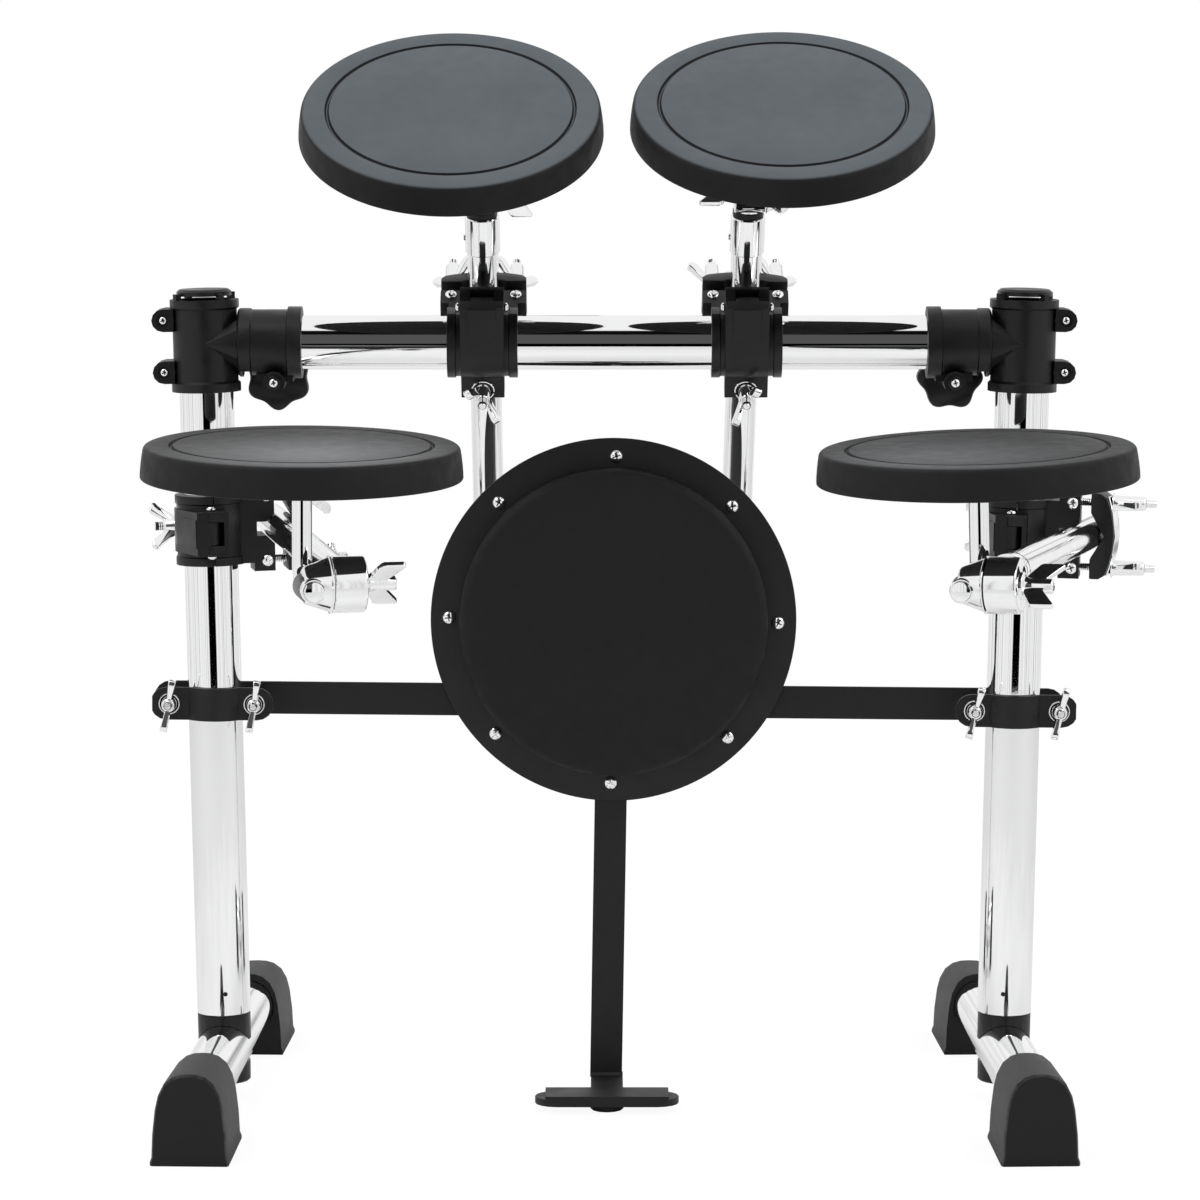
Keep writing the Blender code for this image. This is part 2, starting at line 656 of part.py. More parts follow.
def strap_bolts():
    """(x, name) of the four strap bolts."""
    bolts = []
    for side, word in SIDES:
        for offset in (-STRAP_BOLT_X, STRAP_BOLT_X):
            place = "outer" if offset * side > 0.0 else "inner"
            bolts.append((side * STRAP_CENTRE_X + offset, f"{word}_{place}_strap_nut"))
    return bolts


def make_crossbar():
    """Flat steel strip behind the posts, with its four bolts and their heads."""
    bar = prism(stadium(CROSSBAR_X[0], CROSSBAR_X[1], STRIP_WIDTH / 2.0), -STRIP_THICK, 0.0)
    for x, _ in strap_bolts():
        reach = CROSSBAR_FRONT_Y - STRAP_EAR_Y + STRIP_THICK + 14.5
        bolt = disc(BOLT_R, -1.0, reach, SMALL)
        head = turned([(0.0, -STRIP_THICK - 3.0), (4.5, -STRIP_THICK - 2.2), (6.5, -STRIP_THICK + 0.5),
                       (0.0, -STRIP_THICK + 0.5)], SMALL)
        bar = joined(bar, moved(joined(bolt, head), shift(x)))
    piece("rear_crossbar", bar, "black_steel", crossbar_frame())


def strap_outline():
    """Bent strip seen from above: an arc round the front of the post between two flat ears."""
    outer_r = STRAP_INNER_R + STRIP_THICK
    front = STRAP_EAR_Y - STRIP_THICK
    outer_turn = math.degrees(math.acos(-front / outer_r))
    inner_turn = math.degrees(math.acos(-STRAP_EAR_Y / STRAP_INNER_R))
    outer = arc((0.0, 0.0), outer_r, -90.0 - outer_turn, -90.0 + outer_turn, 14)
    inner = arc((0.0, 0.0), STRAP_INNER_R, -90.0 + inner_turn, -90.0 - inner_turn, 14)
    right = [(STRAP_HALF, front), (STRAP_HALF, STRAP_EAR_Y)]
    left = [(-STRAP_HALF, STRAP_EAR_Y), (-STRAP_HALF, front)]
    return outer + right + inner + left


def make_straps():
    for side, word in SIDES:
        centre = side * STRAP_CENTRE_X
        middle = CROSSBAR_Z - math.tan(CROSSBAR_ROLL) * centre
        frame = shift(centre, 0.0, middle) @ Matrix.Rotation(CROSSBAR_ROLL, 4, "Y")
        slip = post_point(side, middle).x - centre
        strip = moved(prism(strap_outline(), -STRIP_WIDTH / 2.0, STRIP_WIDTH / 2.0), shift(slip))
        ends = moved(prism(stadium(-STRAP_HALF, STRAP_HALF, STRIP_WIDTH / 2.0), 0.0, 60.0), TO_FRONT)
        strap = common(strip, ends)
        for offset in (-STRAP_BOLT_X, STRAP_BOLT_X):
            strap = cut(strap, moved(disc(BOLT_HOLE_R, 5.0, 40.0, SMALL), shift(offset) @ TO_FRONT))
        piece(f"{word}_strap", strap, "black_steel", frame)


def wing_outline(reach, rise):
    """Both wings of a wing nut in one outline, seen along their thickness."""
    half = [(6.8, 2.4), (reach - 2.6, rise - 6.0), (reach, rise - 2.6), (reach - 1.8, rise - 0.2),
            (reach - 5.0, rise - 1.2), (4.6, 8.6)]
    return half + [(-x, y) for x, y in reversed(half)]


def wing_nut(bore, turn, reach=15.4, rise=14.5, height=10.5, washer=7.2):
    """Wing nut with its washer: seat at z = 0, axis z, wings turned about it."""
    hub = turned([(0.0, 0.0), (washer, 0.0), (washer, 1.2), (5.4, 1.6), (5.2, height), (0.0, height)], 10)
    wings = moved(prism(wing_outline(reach, rise), -1.5, 1.5), TO_FRONT)
    nut = moved(joined(hub, wings), Matrix.Rotation(turn, 4, "Z"))
    if bore:
        nut = cut(nut, disc(bore, -2.0, height + 6.0, SMALL))
    return nut


def make_strap_nuts():
    seat = CROSSBAR_FRONT_Y - STRAP_EAR_Y + STRIP_THICK + GAP
    turns = (math.radians(98.0), math.radians(95.0), math.radians(75.0), math.radians(76.0))
    for (x, name), turn in zip(strap_bolts(), turns):
        piece(name, wing_nut(BOLT_HOLE_R, turn), "chrome", crossbar_frame() @ shift(x, 0.0, seat))


# Bass pad

def bass_frame():
    """Origin on the plate's back face at its middle, z towards the player."""
    at = shift(BASS_CENTRE[0], BASS_PLATE_Y, BASS_CENTRE[1])
    return at @ Matrix.Rotation(BASS_ROLL, 4, "Y") @ TO_FRONT


def make_bass_pad():
    plate = turned([(0.0, 0.0), (BASS_PLATE_R - 0.5, 0.0), (BASS_PLATE_R, 0.6), (BASS_PLATE_R, 1.4),
                    (BASS_PLATE_R - 0.5, BASS_PLATE_THICK), (0.0, BASS_PLATE_THICK)], PAD_SIDES)
    piece("bass_plate", plate, "black_steel", bass_frame())
    back = BASS_PLATE_THICK + GAP
    front = back + CUSHION_DEPTH
    edge = arc((CUSHION_R - CUSHION_EDGE, front - CUSHION_EDGE), CUSHION_EDGE, 0.0, 75.0, 3)
    crown = [(CUSHION_R * 0.6, front + 0.9), (0.0, front + 1.6)]
    profile = [(0.0, back), (CUSHION_R - 2.0, back), (CUSHION_R, back + 2.0)] + edge + crown
    piece("bass_cushion", turned(profile, PAD_SIDES), "black_rubber", bass_frame())


def make_bass_strut():
    """Flat strip down the back of the plate, bent forward at the floor to the pedal plate it ends in."""
    half = STRUT_WIDTH / 2.0
    roll = Matrix.Rotation(BASS_ROLL, 4, "Y")
    front = BASS_PLATE_Y + GAP
    back = front + STRIP_THICK
    strip = moved(box((-half, half), (front, back), (-BASS_CENTRE[1] + 11.0, STRUT_TOP)), roll)
    strip = moved(strip, shift(BASS_CENTRE[0], 0.0, BASS_CENTRE[1]))
    depth = (PEDAL_Y[0] - PEDAL_Y[1]) / 2.0
    middle = shift(PEDAL_X, PEDAL_Y[0] - depth)
    bar = moved(prism(stadium(-PEDAL_BAR_HALF, PEDAL_BAR_HALF, depth), *PEDAL_BAR_Z), middle)
    plate = box((-PEDAL_PLATE_HALF, PEDAL_PLATE_HALF), (-depth, depth), (PEDAL_BAR_Z[1] - 0.5, PEDAL_PLATE_TOP))
    bend = PEDAL_PLATE_TOP
    tongue = prism([(PEDAL_Y[0] - 8.0, bend - STRIP_THICK), (back - 2.0, bend - STRIP_THICK),
                    (back, bend - STRIP_THICK + 2.0), (back, bend + 2.0), (front, bend + 2.0),
                    (front - 1.5, bend), (PEDAL_Y[0] - 8.0, bend)], PEDAL_X - half, PEDAL_X + half)
    strut = joined(strip, moved(tongue, YZ_TO_X), bar, moved(plate, middle))
    piece("bass_strut", strut, "black_steel", Matrix.Identity(4))
    top = PEDAL_BAR_Z[0] - GAP
    foot = turned([(0.0, 0.0), (10.8, 0.0), (12.2, 1.6), (12.2, top), (0.0, top)], COARSE)
    piece("pedal_foot", foot, "black_rubber", middle)


# Clamps

def half_ring(sign):
    """Half of the clamp's flanged ring: sign -1 is the jaw's half, 1 the body's."""
    flange = CLAMP_HALF_LENGTH - CLAMP_FLANGE
    sections = []
    profile = ((CLAMP_HALF_LENGTH, CLAMP_FLANGE_R), (flange, CLAMP_FLANGE_R), (flange - 0.6, CLAMP_RING_R))
    for at, radius in [(-x, radius) for x, radius in profile] + list(reversed(profile)):
        parting = math.degrees(math.asin(PARTING / radius))
        outline = arc((0.0, 0.0), radius, parting, 180.0 - parting, FINE // 2)
        sections.append([(at, sign * y, z) for z, y in outline])
    return loft(sections)


def about_hinge(radius, start, end):
    """Cylinder about the hinge pin, between two places along the clamped tube."""
    return moved(disc(radius, start, end), shift(y=HINGE_Y, z=HINGE_Z) @ TO_X)


def along_tube(outline, start, end):
    """Outline of (y, z) points, extruded along the clamped tube."""
    return moved(prism(outline, start, end), YZ_TO_X)


def clamp_hinge():
    """The body's half of the hinge: an upright with two outer knuckles and the pin through them."""
    inner, outer = COLUMN_Y
    upright = along_tube([(0.5, 17.0), (0.5, 30.0), (HINGE_Y + 0.5, HINGE_Z + HINGE_R - 0.1), (inner, COLUMN_Z),
                          (outer, COLUMN_Z), (outer, 20.0), (14.0, 17.0)], -KNUCKLE_END, KNUCKLE_END)
    hinge = joined(upright, about_hinge(HINGE_R, -KNUCKLE_END, KNUCKLE_END))
    gap = TONGUE_HALF_LENGTH + GAP
    hinge = cut(hinge, about_hinge(HINGE_R + GAP, -gap, gap),
                box((-gap, gap), (HINGE_Y - HINGE_R - 2.0, inner - 0.1), (HINGE_Z - 1.3, COLUMN_Z + 5.0)))
    return joined(hinge, about_hinge(HINGE_PIN_R, -KNUCKLE_END - 1.2, KNUCKLE_END + 1.2))


def clamp_body(grip):
    """Half ring, grip block with its vee along the gripped tube, hinge, and the closing bolt in two lugs."""
    ring = half_ring(1.0)
    neck_end = CLAMP_HALF_LENGTH - 0.3
    neck = box((-neck_end, neck_end), (8.0, BLOCK_Y[0] + 1.0), (-BLOCK_HALF_HEIGHT, BLOCK_HALF_HEIGHT))
    block = box((-BLOCK_HALF_LENGTH, BLOCK_HALF_LENGTH), BLOCK_Y, (-BLOCK_HALF_HEIGHT, BLOCK_HALF_HEIGHT))
    body = joined(ring, neck, block, clamp_hinge())
    for end in (-1.0, 1.0):
        lug = along_tube([(0.5, -18.0), (0.5, FOOT_Z), (9.0, FOOT_Z), (14.0, -30.0), (16.0, -16.0)],
                         *sorted((end * 4.5, end * 11.0)))
        body = joined(body, lug)
    root = moved(disc(5.4, -5.0, 5.0), shift(y=7.0, z=CLOSING_BOLT_Z) @ TO_X)
    bolt = moved(disc(BOLT_R, -7.0, CLOSING_BOLT_TIP, SMALL), shift(z=CLOSING_BOLT_Z) @ TO_FRONT)
    body = joined(body, root, bolt)
    bore = moved(disc(CLAMP_BORE_R, -40.0, 40.0, FINE), TO_X)
    reach = (ARM_R + GAP) / math.sin(math.radians(45.0))
    vee = prism([(0.0, -reach), (30.0, 30.0 - reach), (-30.0, 30.0 - reach)], -40.0, 40.0)
    channel = box((-CHANNEL_HALF_WIDTH, CHANNEL_HALF_WIDTH), (CHANNEL_Y - ARM_OFFSET, 10.0), (-40.0, 40.0))
    body = cut(body, bore, moved(joined(vee, channel), grip))
    for end in (-1.0, 1.0):
        slot = box(sorted((end * (GRIP_X - 4.6), end * 40.0)), (GRIP_BOLT_ROOT_Y - 5.0, 60.0), (-3.5, 3.5))
        body = cut(body, slot)
    return body


def jaw_outline():
    """The jaw's thick middle band as (y, z) points: front face, slope, round belly and foot."""
    corner = Vector((JAW_FRONT_Z, JAW_FRONT_Y))
    bearing = math.degrees(math.atan2(-JAW_FRONT_Y, JAW_FRONT_Z))
    touch = bearing + math.degrees(math.acos(JAW_BAND_R / corner.length))
    foot = 180.0 - math.degrees(math.asin(-CLOSING_SEAT_Y / JAW_BAND_R))
    belly = [(-y, z) for z, y in arc((0.0, 0.0), JAW_BAND_R, touch, foot, 6)]
    front = [(-4.0, JAW_FRONT_Z), (JAW_FRONT_Y, JAW_FRONT_Z)]
    sole = [(CLOSING_SEAT_Y, FOOT_Z), (-5.0, FOOT_Z), (-4.0, -31.0)]
    parting = [(-0.5, -27.0), (-0.5, 26.5), (-1.0, HINGE_Z)]
    return front + belly + sole + parting


def jaw_panel():
    """Thin raised panel on the jaw's sloping face."""
    front = Vector((JAW_FRONT_Y, JAW_FRONT_Z))
    slope = (Vector(jaw_outline()[2]) - front).normalized()
    out = Vector((slope.y, -slope.x))
    start, end = JAW_PANEL
    corners = [front + slope * start + out * 0.8, front + slope * end + out * 0.8,
               front + slope * end - out * 1.5, front + slope * start - out * 1.5]
    return along_tube([tuple(c) for c in corners], -JAW_PANEL_HALF_LENGTH, JAW_PANEL_HALF_LENGTH)


def clamp_jaw():
    """Hinged half shell: half ring, middle band with its panel, hinge tongue and the forked foot."""
    band = along_tube(jaw_outline(), -JAW_HALF_LENGTH, JAW_HALF_LENGTH)
    tongue = about_hinge(HINGE_R, -TONGUE_HALF_LENGTH - 2.0, TONGUE_HALF_LENGTH + 2.0)
    jaw = joined(half_ring(-1.0), band, tongue, jaw_panel())
    bore = moved(disc(CLAMP_BORE_R, -40.0, 40.0, FINE), TO_X)
    fork = box((-BOLT_HOLE_R, BOLT_HOLE_R), (-30.0, 10.0), (FOOT_Z - 20.0, CLOSING_BOLT_Z + BOLT_HOLE_R))
    parting = box((-60.0, 60.0), (-PARTING, 20.0), (-60.0, HINGE_Z - HINGE_R - 0.1))
    jaw = cut(jaw, bore, fork, parting, about_hinge(HINGE_PIN_R + GAP, -40.0, 40.0))
    for end in (-1.0, 1.0):
        beside = sorted((end * TONGUE_HALF_LENGTH, end * 30.0))
        jaw = cut(jaw, about_hinge(HINGE_R + 0.4, *beside), box(beside, (-5.5, 12.0), (HINGE_Z, 60.0)))
    return jaw


def grip_plate(grip, nut_turns):
    """Outer jaw of the grip, square to the gripped tube: arched plate, shallow vee and two wing bolts."""
    half = BLOCK_HALF_LENGTH
    belly = GRIP_PLATE_BELLY - GRIP_PLATE_END
    radius = (half * half + belly * belly) / (2.0 * belly)
    swing = math.degrees(math.asin((half - 3.0) / radius))
    back = arc((0.0, GRIP_PLATE_BELLY - radius), radius, 90.0 - swing, 90.0 + swing, SMALL)
    reach = (ARM_R + GAP) / math.sin(math.radians(60.0))
    apex = ARM_OFFSET + reach
    mouth = (apex - GRIP_PLATE_Y) * math.tan(math.radians(60.0))
    outline = back + [(-half, GRIP_PLATE_END - 3.0), (-half, GRIP_PLATE_Y), (-mouth, GRIP_PLATE_Y), (0.0, apex),
                      (mouth, GRIP_PLATE_Y), (half, GRIP_PLATE_Y), (half, GRIP_PLATE_END - 3.0)]
    plate = prism(outline, -GRIP_PLATE_HALF_HEIGHT, GRIP_PLATE_HALF_HEIGHT)
    plate = moved(plate, grip @ shift(y=-ARM_OFFSET))
    length = GRIP_BOLT_TIP_Y - GRIP_BOLT_ROOT_Y
    for end, turn in zip((-1.0, 1.0), nut_turns):
        shank = moved(disc(BOLT_R - 0.2, -2.0, length, SMALL), shift(end * GRIP_X, GRIP_BOLT_ROOT_Y) @ TO_BACK)
        root = disc(4.2, -3.1, 3.1, SMALL)
        nut = moved(wing_nut(0.0, turn, 13.5, 20.0, 23.5), shift(end * GRIP_X, GRIP_PLATE_END + 3.5) @ TO_BACK)
        plate = joined(plate, shank, moved(root, shift(end * GRIP_X, GRIP_BOLT_ROOT_Y)), nut)
    return plate


def make_clamps():
    for name, frame in CLAMP_FRAMES.items():
        nut_turn, grip_turns = CLAMP_NUT_TURNS[name]
        grip = grip_frame(name)
        piece(f"{name}_clamp_body", clamp_body(grip), "black_plastic", frame)
        hinge = shift(y=HINGE_Y, z=HINGE_Z)
        piece(f"{name}_clamp_jaw", moved(clamp_jaw(), hinge.inverted()), "black_plastic", frame @ hinge)
        seat = shift(y=CLOSING_SEAT_Y - GAP, z=CLOSING_BOLT_Z) @ TO_FRONT
        nut = wing_nut(BOLT_HOLE_R, nut_turn, 18.0, 22.0, 13.0, 8.4)
        piece(f"{name}_closing_nut", nut, "chrome", frame @ seat)
        piece(f"{name}_grip_plate", grip_plate(grip, grip_turns), "black_plastic", frame)


# Tubes, arms and tilters

def tilter_wing(turn):
    """Wing bolt on the free end of a barrel, from x = BARREL_LENGTH: two broad paddles on a long hub."""
    hub = turned([(0.0, 0.0), (9.0, 0.0), (9.0, 2.0), (6.2, 3.2), (4.8, 8.0), (4.8, 21.0), (0.0, 21.0)], COARSE)
    half = [(8.5, 1.5), (21.0, 8.5), (22.5, 10.5), (22.5, 23.5), (21.0, 25.0), (8.0, 16.0)]
    paddles = moved(prism(half + [(-x, y) for x, y in reversed(half)], -1.6, 1.6), TO_FRONT)
    wing = moved(joined(hub, paddles), Matrix.Rotation(turn, 4, "Z"))
    return moved(wing, shift(BARREL_LENGTH - 0.5) @ TO_X)


def barrel(turn):
    """Barrel with its wing bolt, along x from the tilting face."""
    profile = [(0.0, 0.2), (BARREL_R - 0.6, 0.2), (BARREL_R, 0.8), (BARREL_R, BARREL_LENGTH - 2.0),
               (BARREL_R - 2.0, BARREL_LENGTH), (0.0, BARREL_LENGTH)]
    return joined(moved(turned(profile, FINE), TO_X), tilter_wing(turn))


def make_upper_tubes():
    for name in UPPER_UNITS:
        stem = tube(ARM_R - ARM_WALL, ARM_R, UPPER_TUBE_BOTTOM, UPPER_TUBE_TOP, 24)
        piece(f"{name}_tube", stem, "chrome", tube_frame(name))


def make_upper_bases():
    """Sleeve on the tube's top, its set screw and the barrel above it."""
    for name, unit in UPPER_UNITS.items():
        frame = tube_frame(name)
        sleeve = turned([
            (0.0, SLEEVE_BOTTOM), (SLEEVE_R, SLEEVE_BOTTOM), (SLEEVE_R, SLEEVE_TOP - 0.8),
            (SLEEVE_R - 0.8, SLEEVE_TOP), (SLEEVE_NECK_R, SLEEVE_TOP), (SLEEVE_NECK_R, UPPER_TILTER_AT),
            (0.0, UPPER_TILTER_AT)], 24)
        screw = disc(2.4, 10.0, SLEEVE_R + 1.0, SMALL)
        screw = moved(screw, shift(z=SLEEVE_SCREW_Z) @ Matrix.Rotation(-math.pi / 2.0, 4, "Y"))
        place = frame.inverted() @ tilter_frame(name)
        if tilter_hand(name) < 0.0:
            place = place @ Matrix.Scale(-1.0, 4, (1.0, 0.0, 0.0))
        body = joined(sleeve, screw, moved(barrel(unit["nut_turn"]), place))
        body = cut(body, disc(ARM_R + GAP, SLEEVE_BOTTOM - 5.0, UPPER_TUBE_TOP + GAP, 24))
        piece(f"{name}_tilter_base", body, "chrome", frame)


def make_arms():
    """Arm tube through the grip, flared where it is welded to the barrel at its front end."""
    for name, unit in LOWER_UNITS.items():
        frame = tube_frame(name)
        end = unit["reach"] - 4.0
        neck = unit["reach"] - BARREL_R - NECK_LENGTH
        flare = turned([(0.0, neck), (ARM_R + 0.4, neck), (ARM_R + 1.6, neck + NECK_LENGTH),
                        (ARM_R + 1.6, end - 1.0), (0.0, end - 1.0)], FINE)
        arm = joined(disc(ARM_R, -ARM_BACK, end, FINE), flare)
        arm = cut(arm, disc(ARM_R - ARM_WALL, -ARM_BACK - 5.0, neck - 5.0, FINE))
        place = frame.inverted() @ tilter_frame(name)
        clearance = moved(disc(BARREL_R + 1.2, -40.0, 0.3, FINE), place @ TO_X)
        arm = joined(cut(arm, clearance), moved(barrel(unit["nut_turn"]), place))
        piece(f"{name}_arm", arm, "chrome", frame)


def tilter_head(rod):
    """Cone with a thin rim, and the boss across its end in which the pad's rod is held."""
    face = 0.25
    cone = turned([
        (0.0, face), (BARREL_R + 0.3, face), (BARREL_R + 0.3, face + 1.0), (BARREL_R - 0.4, face + 1.5),
        (HEAD_END_R, HEAD_LENGTH - 1.5), (HEAD_END_R - 1.5, HEAD_LENGTH), (0.0, HEAD_LENGTH)], FINE)
    cone = moved(cone, Matrix.Scale(-1.0, 4, (1.0, 0.0, 0.0)) @ TO_X)
    boss = turned([(0.0, -BOSS_BACK), (BOSS_R, -BOSS_BACK), (BOSS_R, 6.0), (FLANGE_R, 8.0),
                   (FLANGE_R, FLANGE_FRONT), (0.0, FLANGE_FRONT)], FINE)
    across = shift(-rod, 0.0, -ROD_DROP) @ TO_FRONT
    bore = moved(disc(ROD_R + GAP, -40.0, 40.0), across)
    beyond_face = box((-face, 30.0), (-40.0, 40.0), (-40.0, 40.0))
    return cut(joined(cone, moved(boss, across)), bore, beyond_face)


def handed(name, solid):
    """Turns a part of a tilter round for the units whose head is on the right or whose rod stands in front."""
    unit = UPPER_UNITS.get(name) or LOWER_UNITS[name]
    if tilter_hand(name) < 0.0:
        solid = moved(solid, Matrix.Scale(-1.0, 4, (1.0, 0.0, 0.0)))
    if unit["back"] < 0.0:
        solid = moved(solid, Matrix.Scale(-1.0, 4, (0.0, 1.0, 0.0)))
    return solid


def make_heads():
    for name, unit in (UPPER_UNITS | LOWER_UNITS).items():
        piece(f"{name}_tilter_head", handed(name, tilter_head(unit["rod"])), "chrome", head_frame(name))


def bent_rod(top, leg):
    """Round rod, up from a lying leg that runs forward: stations are (y, z, heading, radius)."""
    corner = ROD_CORNER_R
    stations = [(-leg, -ROD_DROP, 0.0, ROD_R - 1.2), (-leg + 1.2, -ROD_DROP, 0.0, ROD_R)]
    for turn in (0.0, 22.5, 45.0, 67.5, 90.0):
        bend = math.radians(turn)
        rise = corner * (1.0 - math.cos(bend))
        stations.append((corner * (math.sin(bend) - 1.0), rise - ROD_DROP, bend, ROD_R))
    stations += [(0.0, top - 0.8, math.pi / 2.0, ROD_R), (0.0, top, math.pi / 2.0, ROD_R - 0.8)]
    sections = []
    for y, z, heading, radius in stations:
        ring = arc((0.0, 0.0), radius, 0.0, 330.0, COARSE - 1)
        sections.append([(u, y - v * math.sin(heading), z + v * math.cos(heading)) for u, v in ring])
    return loft(sections)


def make_rods():
    for name, unit in (UPPER_UNITS | LOWER_UNITS).items():
        leg = abs(unit["back"]) + FLANGE_FRONT + ROD_PROUD
        rod = bent_rod(unit["face"] - PAD_THICK + 9.0, leg)
        piece(f"{name}_pad_rod", handed(name, rod), "chrome", rod_frame(name))


def pad_profile():
    """Section of a pad from its underside's middle out and round to the middle of its face."""
    top = PAD_THICK
    edge = arc((PAD_TOP_R - PAD_EDGE, top - PAD_EDGE - 0.3), PAD_EDGE, 0.0, 80.0, 2)
    groove = PAD_GROOVE_R
    face = [(groove + 1.4, top - 0.2), (groove, top - 1.8), (groove - 1.4, top - 0.1), (0.0, top)]
    under = [(0.0, 10.0), (ROD_R + GAP, 10.0), (ROD_R + GAP, -4.0), (22.0, -4.0), (25.0, 0.0),
             (PAD_R - 1.2, 0.0), (PAD_R, 1.2)]
    return under + edge + face


def make_pads():
    for name, unit in (UPPER_UNITS | LOWER_UNITS).items():
        frame = rod_frame(name) @ shift(z=unit["face"] - PAD_THICK)
        finish = "grey_rubber" if name in UPPER_UNITS else "black_rubber"
        piece(f"{name}_pad", turned(pad_profile(), PAD_SIDES), finish, frame)


def centre_on_footprint():
    """Move everything so that the middle of the whole model's box in plan is at X = 0, Y = 0."""
    corners = []
    for obj in bpy.data.objects:
        corners += [obj.matrix_basis @ vertex.co for vertex in obj.data.vertices]
    middle = Vector((
        (min(c.x for c in corners) + max(c.x for c in corners)) / 2.0,
        (min(c.y for c in corners) + max(c.y for c in corners)) / 2.0,
        0.0))
    for obj in bpy.data.objects:
        obj.location -= middle
    return middle


SIDES = ((-1, "left"), (1, "right"))
CLAMP_FRAMES = {name: upper_clamp_frame(unit) for name, unit in UPPER_UNITS.items()}
CLAMP_FRAMES.update({name: lower_clamp_frame(unit) for name, unit in LOWER_UNITS.items()})
CLAMP_NUT_TURNS = {
    "upper_left": (math.radians(-50.0), (math.radians(40.0), math.radians(80.0))),
    "upper_right": (math.radians(62.0), (math.radians(-35.0), math.radians(85.0))),
    "lower_left": (math.radians(10.0), (math.radians(30.0), math.radians(60.0))),
    "lower_right": (math.radians(0.0), (math.radians(90.0), math.radians(80.0))),
}


def main():
    for obj in list(bpy.data.objects):
        bpy.data.objects.remove(obj)
    make_posts()
    make_top_bar()
    make_base_tubes()
    make_tees()
    make_star_knobs()
    make_saddles()
    make_feet()
    make_crossbar()
    make_straps()
    make_strap_nuts()
    make_bass_pad()
    make_bass_strut()
    make_clamps()
    make_upper_tubes()
    make_upper_bases()
    make_arms()
    make_heads()
    make_rods()
    make_pads()
    centre_on_footprint()


main()
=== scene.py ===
"""Looks of the practice pad kit: materials, rounder forms, fasteners, studio, light and camera.

Shapes are drawn in millimetres and turned into metres where a piece is made.
"""
import json
import math

import bmesh
import bpy
from mathutils import Matrix, Vector


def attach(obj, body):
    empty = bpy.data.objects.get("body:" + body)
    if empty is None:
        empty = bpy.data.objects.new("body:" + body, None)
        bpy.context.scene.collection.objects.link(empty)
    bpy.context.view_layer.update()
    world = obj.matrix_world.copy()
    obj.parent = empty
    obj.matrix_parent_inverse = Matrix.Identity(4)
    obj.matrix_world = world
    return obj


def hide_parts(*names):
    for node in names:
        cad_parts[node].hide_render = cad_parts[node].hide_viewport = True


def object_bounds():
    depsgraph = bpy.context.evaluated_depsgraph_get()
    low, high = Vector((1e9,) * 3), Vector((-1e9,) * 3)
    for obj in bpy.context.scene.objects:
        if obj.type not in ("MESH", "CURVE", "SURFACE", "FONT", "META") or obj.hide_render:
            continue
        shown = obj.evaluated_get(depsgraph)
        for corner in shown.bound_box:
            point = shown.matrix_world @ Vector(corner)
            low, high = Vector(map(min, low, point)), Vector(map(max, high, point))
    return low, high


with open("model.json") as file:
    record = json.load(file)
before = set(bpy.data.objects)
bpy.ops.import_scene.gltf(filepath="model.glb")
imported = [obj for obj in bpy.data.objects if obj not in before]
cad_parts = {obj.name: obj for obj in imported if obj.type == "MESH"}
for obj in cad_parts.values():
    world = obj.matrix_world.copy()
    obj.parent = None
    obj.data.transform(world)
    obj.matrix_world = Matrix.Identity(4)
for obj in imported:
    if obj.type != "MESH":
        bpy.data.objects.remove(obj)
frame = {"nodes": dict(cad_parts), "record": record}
cad_low, cad_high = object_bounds()
NODES = frame["nodes"]
JOINTS = {joint["name"]: joint for joint in frame["record"]["behaviour"]["joints"]}
MM = 0.001

# Camera: the photograph's station, 3.5 m away, looking a little down
CAMERA_AT = (-0.03597, -3.44235, 0.7805)
CAMERA_DOWN = math.radians(6.85)
LENS = 150.0
SENSOR = 36.0

# Sizes shared with the model
SIDES = ((-1, "left"), (1, "right"))
BAR_Z = 541.0
POST_X = 287.7
POST_LEAN = math.radians(1.07)
BASE_TUBE_Z = 36.5
BASE_TOE = math.radians(2.3)
TUBE_R = 19.05
ARM_R = 11.1
ARM_OFFSET = 49.2
GRIP_X = 22.9
GRIP_BOLT_Y = (38.5, 97.0)
BLOCK_HALF_HEIGHT = 12.7
GRIP_NUT_Y = 66.0
CLOSING_AT = (-22.0, -29.0)     # of the closing nut's joint, in the clamp's y and z
HINGE_AT = (-3.0, 33.0)
HINGE_PIN_END = 16.6
BARREL_R = 18.5
BARREL_LENGTH = 22.5
ROD_R = 6.6
PAD_R = 105.4
PAD_TOP_R = 103.6
PAD_THICK = 22.0
GROOVE_R = 85.3
PLATE_R = 130.0
CUSHION_R = 109.5
SCREW_CIRCLE = 117.0
BASS_ROLL = math.radians(0.95)

# Turns of the wing nuts on the grips and closing bolts, of the tilters' wing bolts, and each rod's place
UNITS = {
    "upper_left": {"grip": (-42.0, 38.0), "closing": -50.0, "wing": 20.0, "hand": 1, "rod": 8.5, "back": -30.0},
    "upper_right": {"grip": (15.0, 38.0), "closing": 62.0, "wing": -60.0, "hand": -1, "rod": 10.0, "back": -30.0},
    "lower_left": {"grip": (30.0, 60.0), "closing": 35.0, "wing": 50.0, "hand": 1, "rod": 13.6, "back": 30.0},
    "lower_right": {"grip": (90.0, 80.0), "closing": 0.0, "wing": -60.0, "hand": 1, "rod": 14.5, "back": 36.0},
}
STRAP_TURNS = {"left_outer": 79.0, "left_inner": 80.0, "right_inner": 75.0, "right_outer": 76.0}

TO_X = Matrix.Rotation(math.radians(90.0), 4, "Y")
TO_FRONT = Matrix.Rotation(math.radians(90.0), 4, "X")
TO_BACK = Matrix.Rotation(math.radians(-90.0), 4, "X")


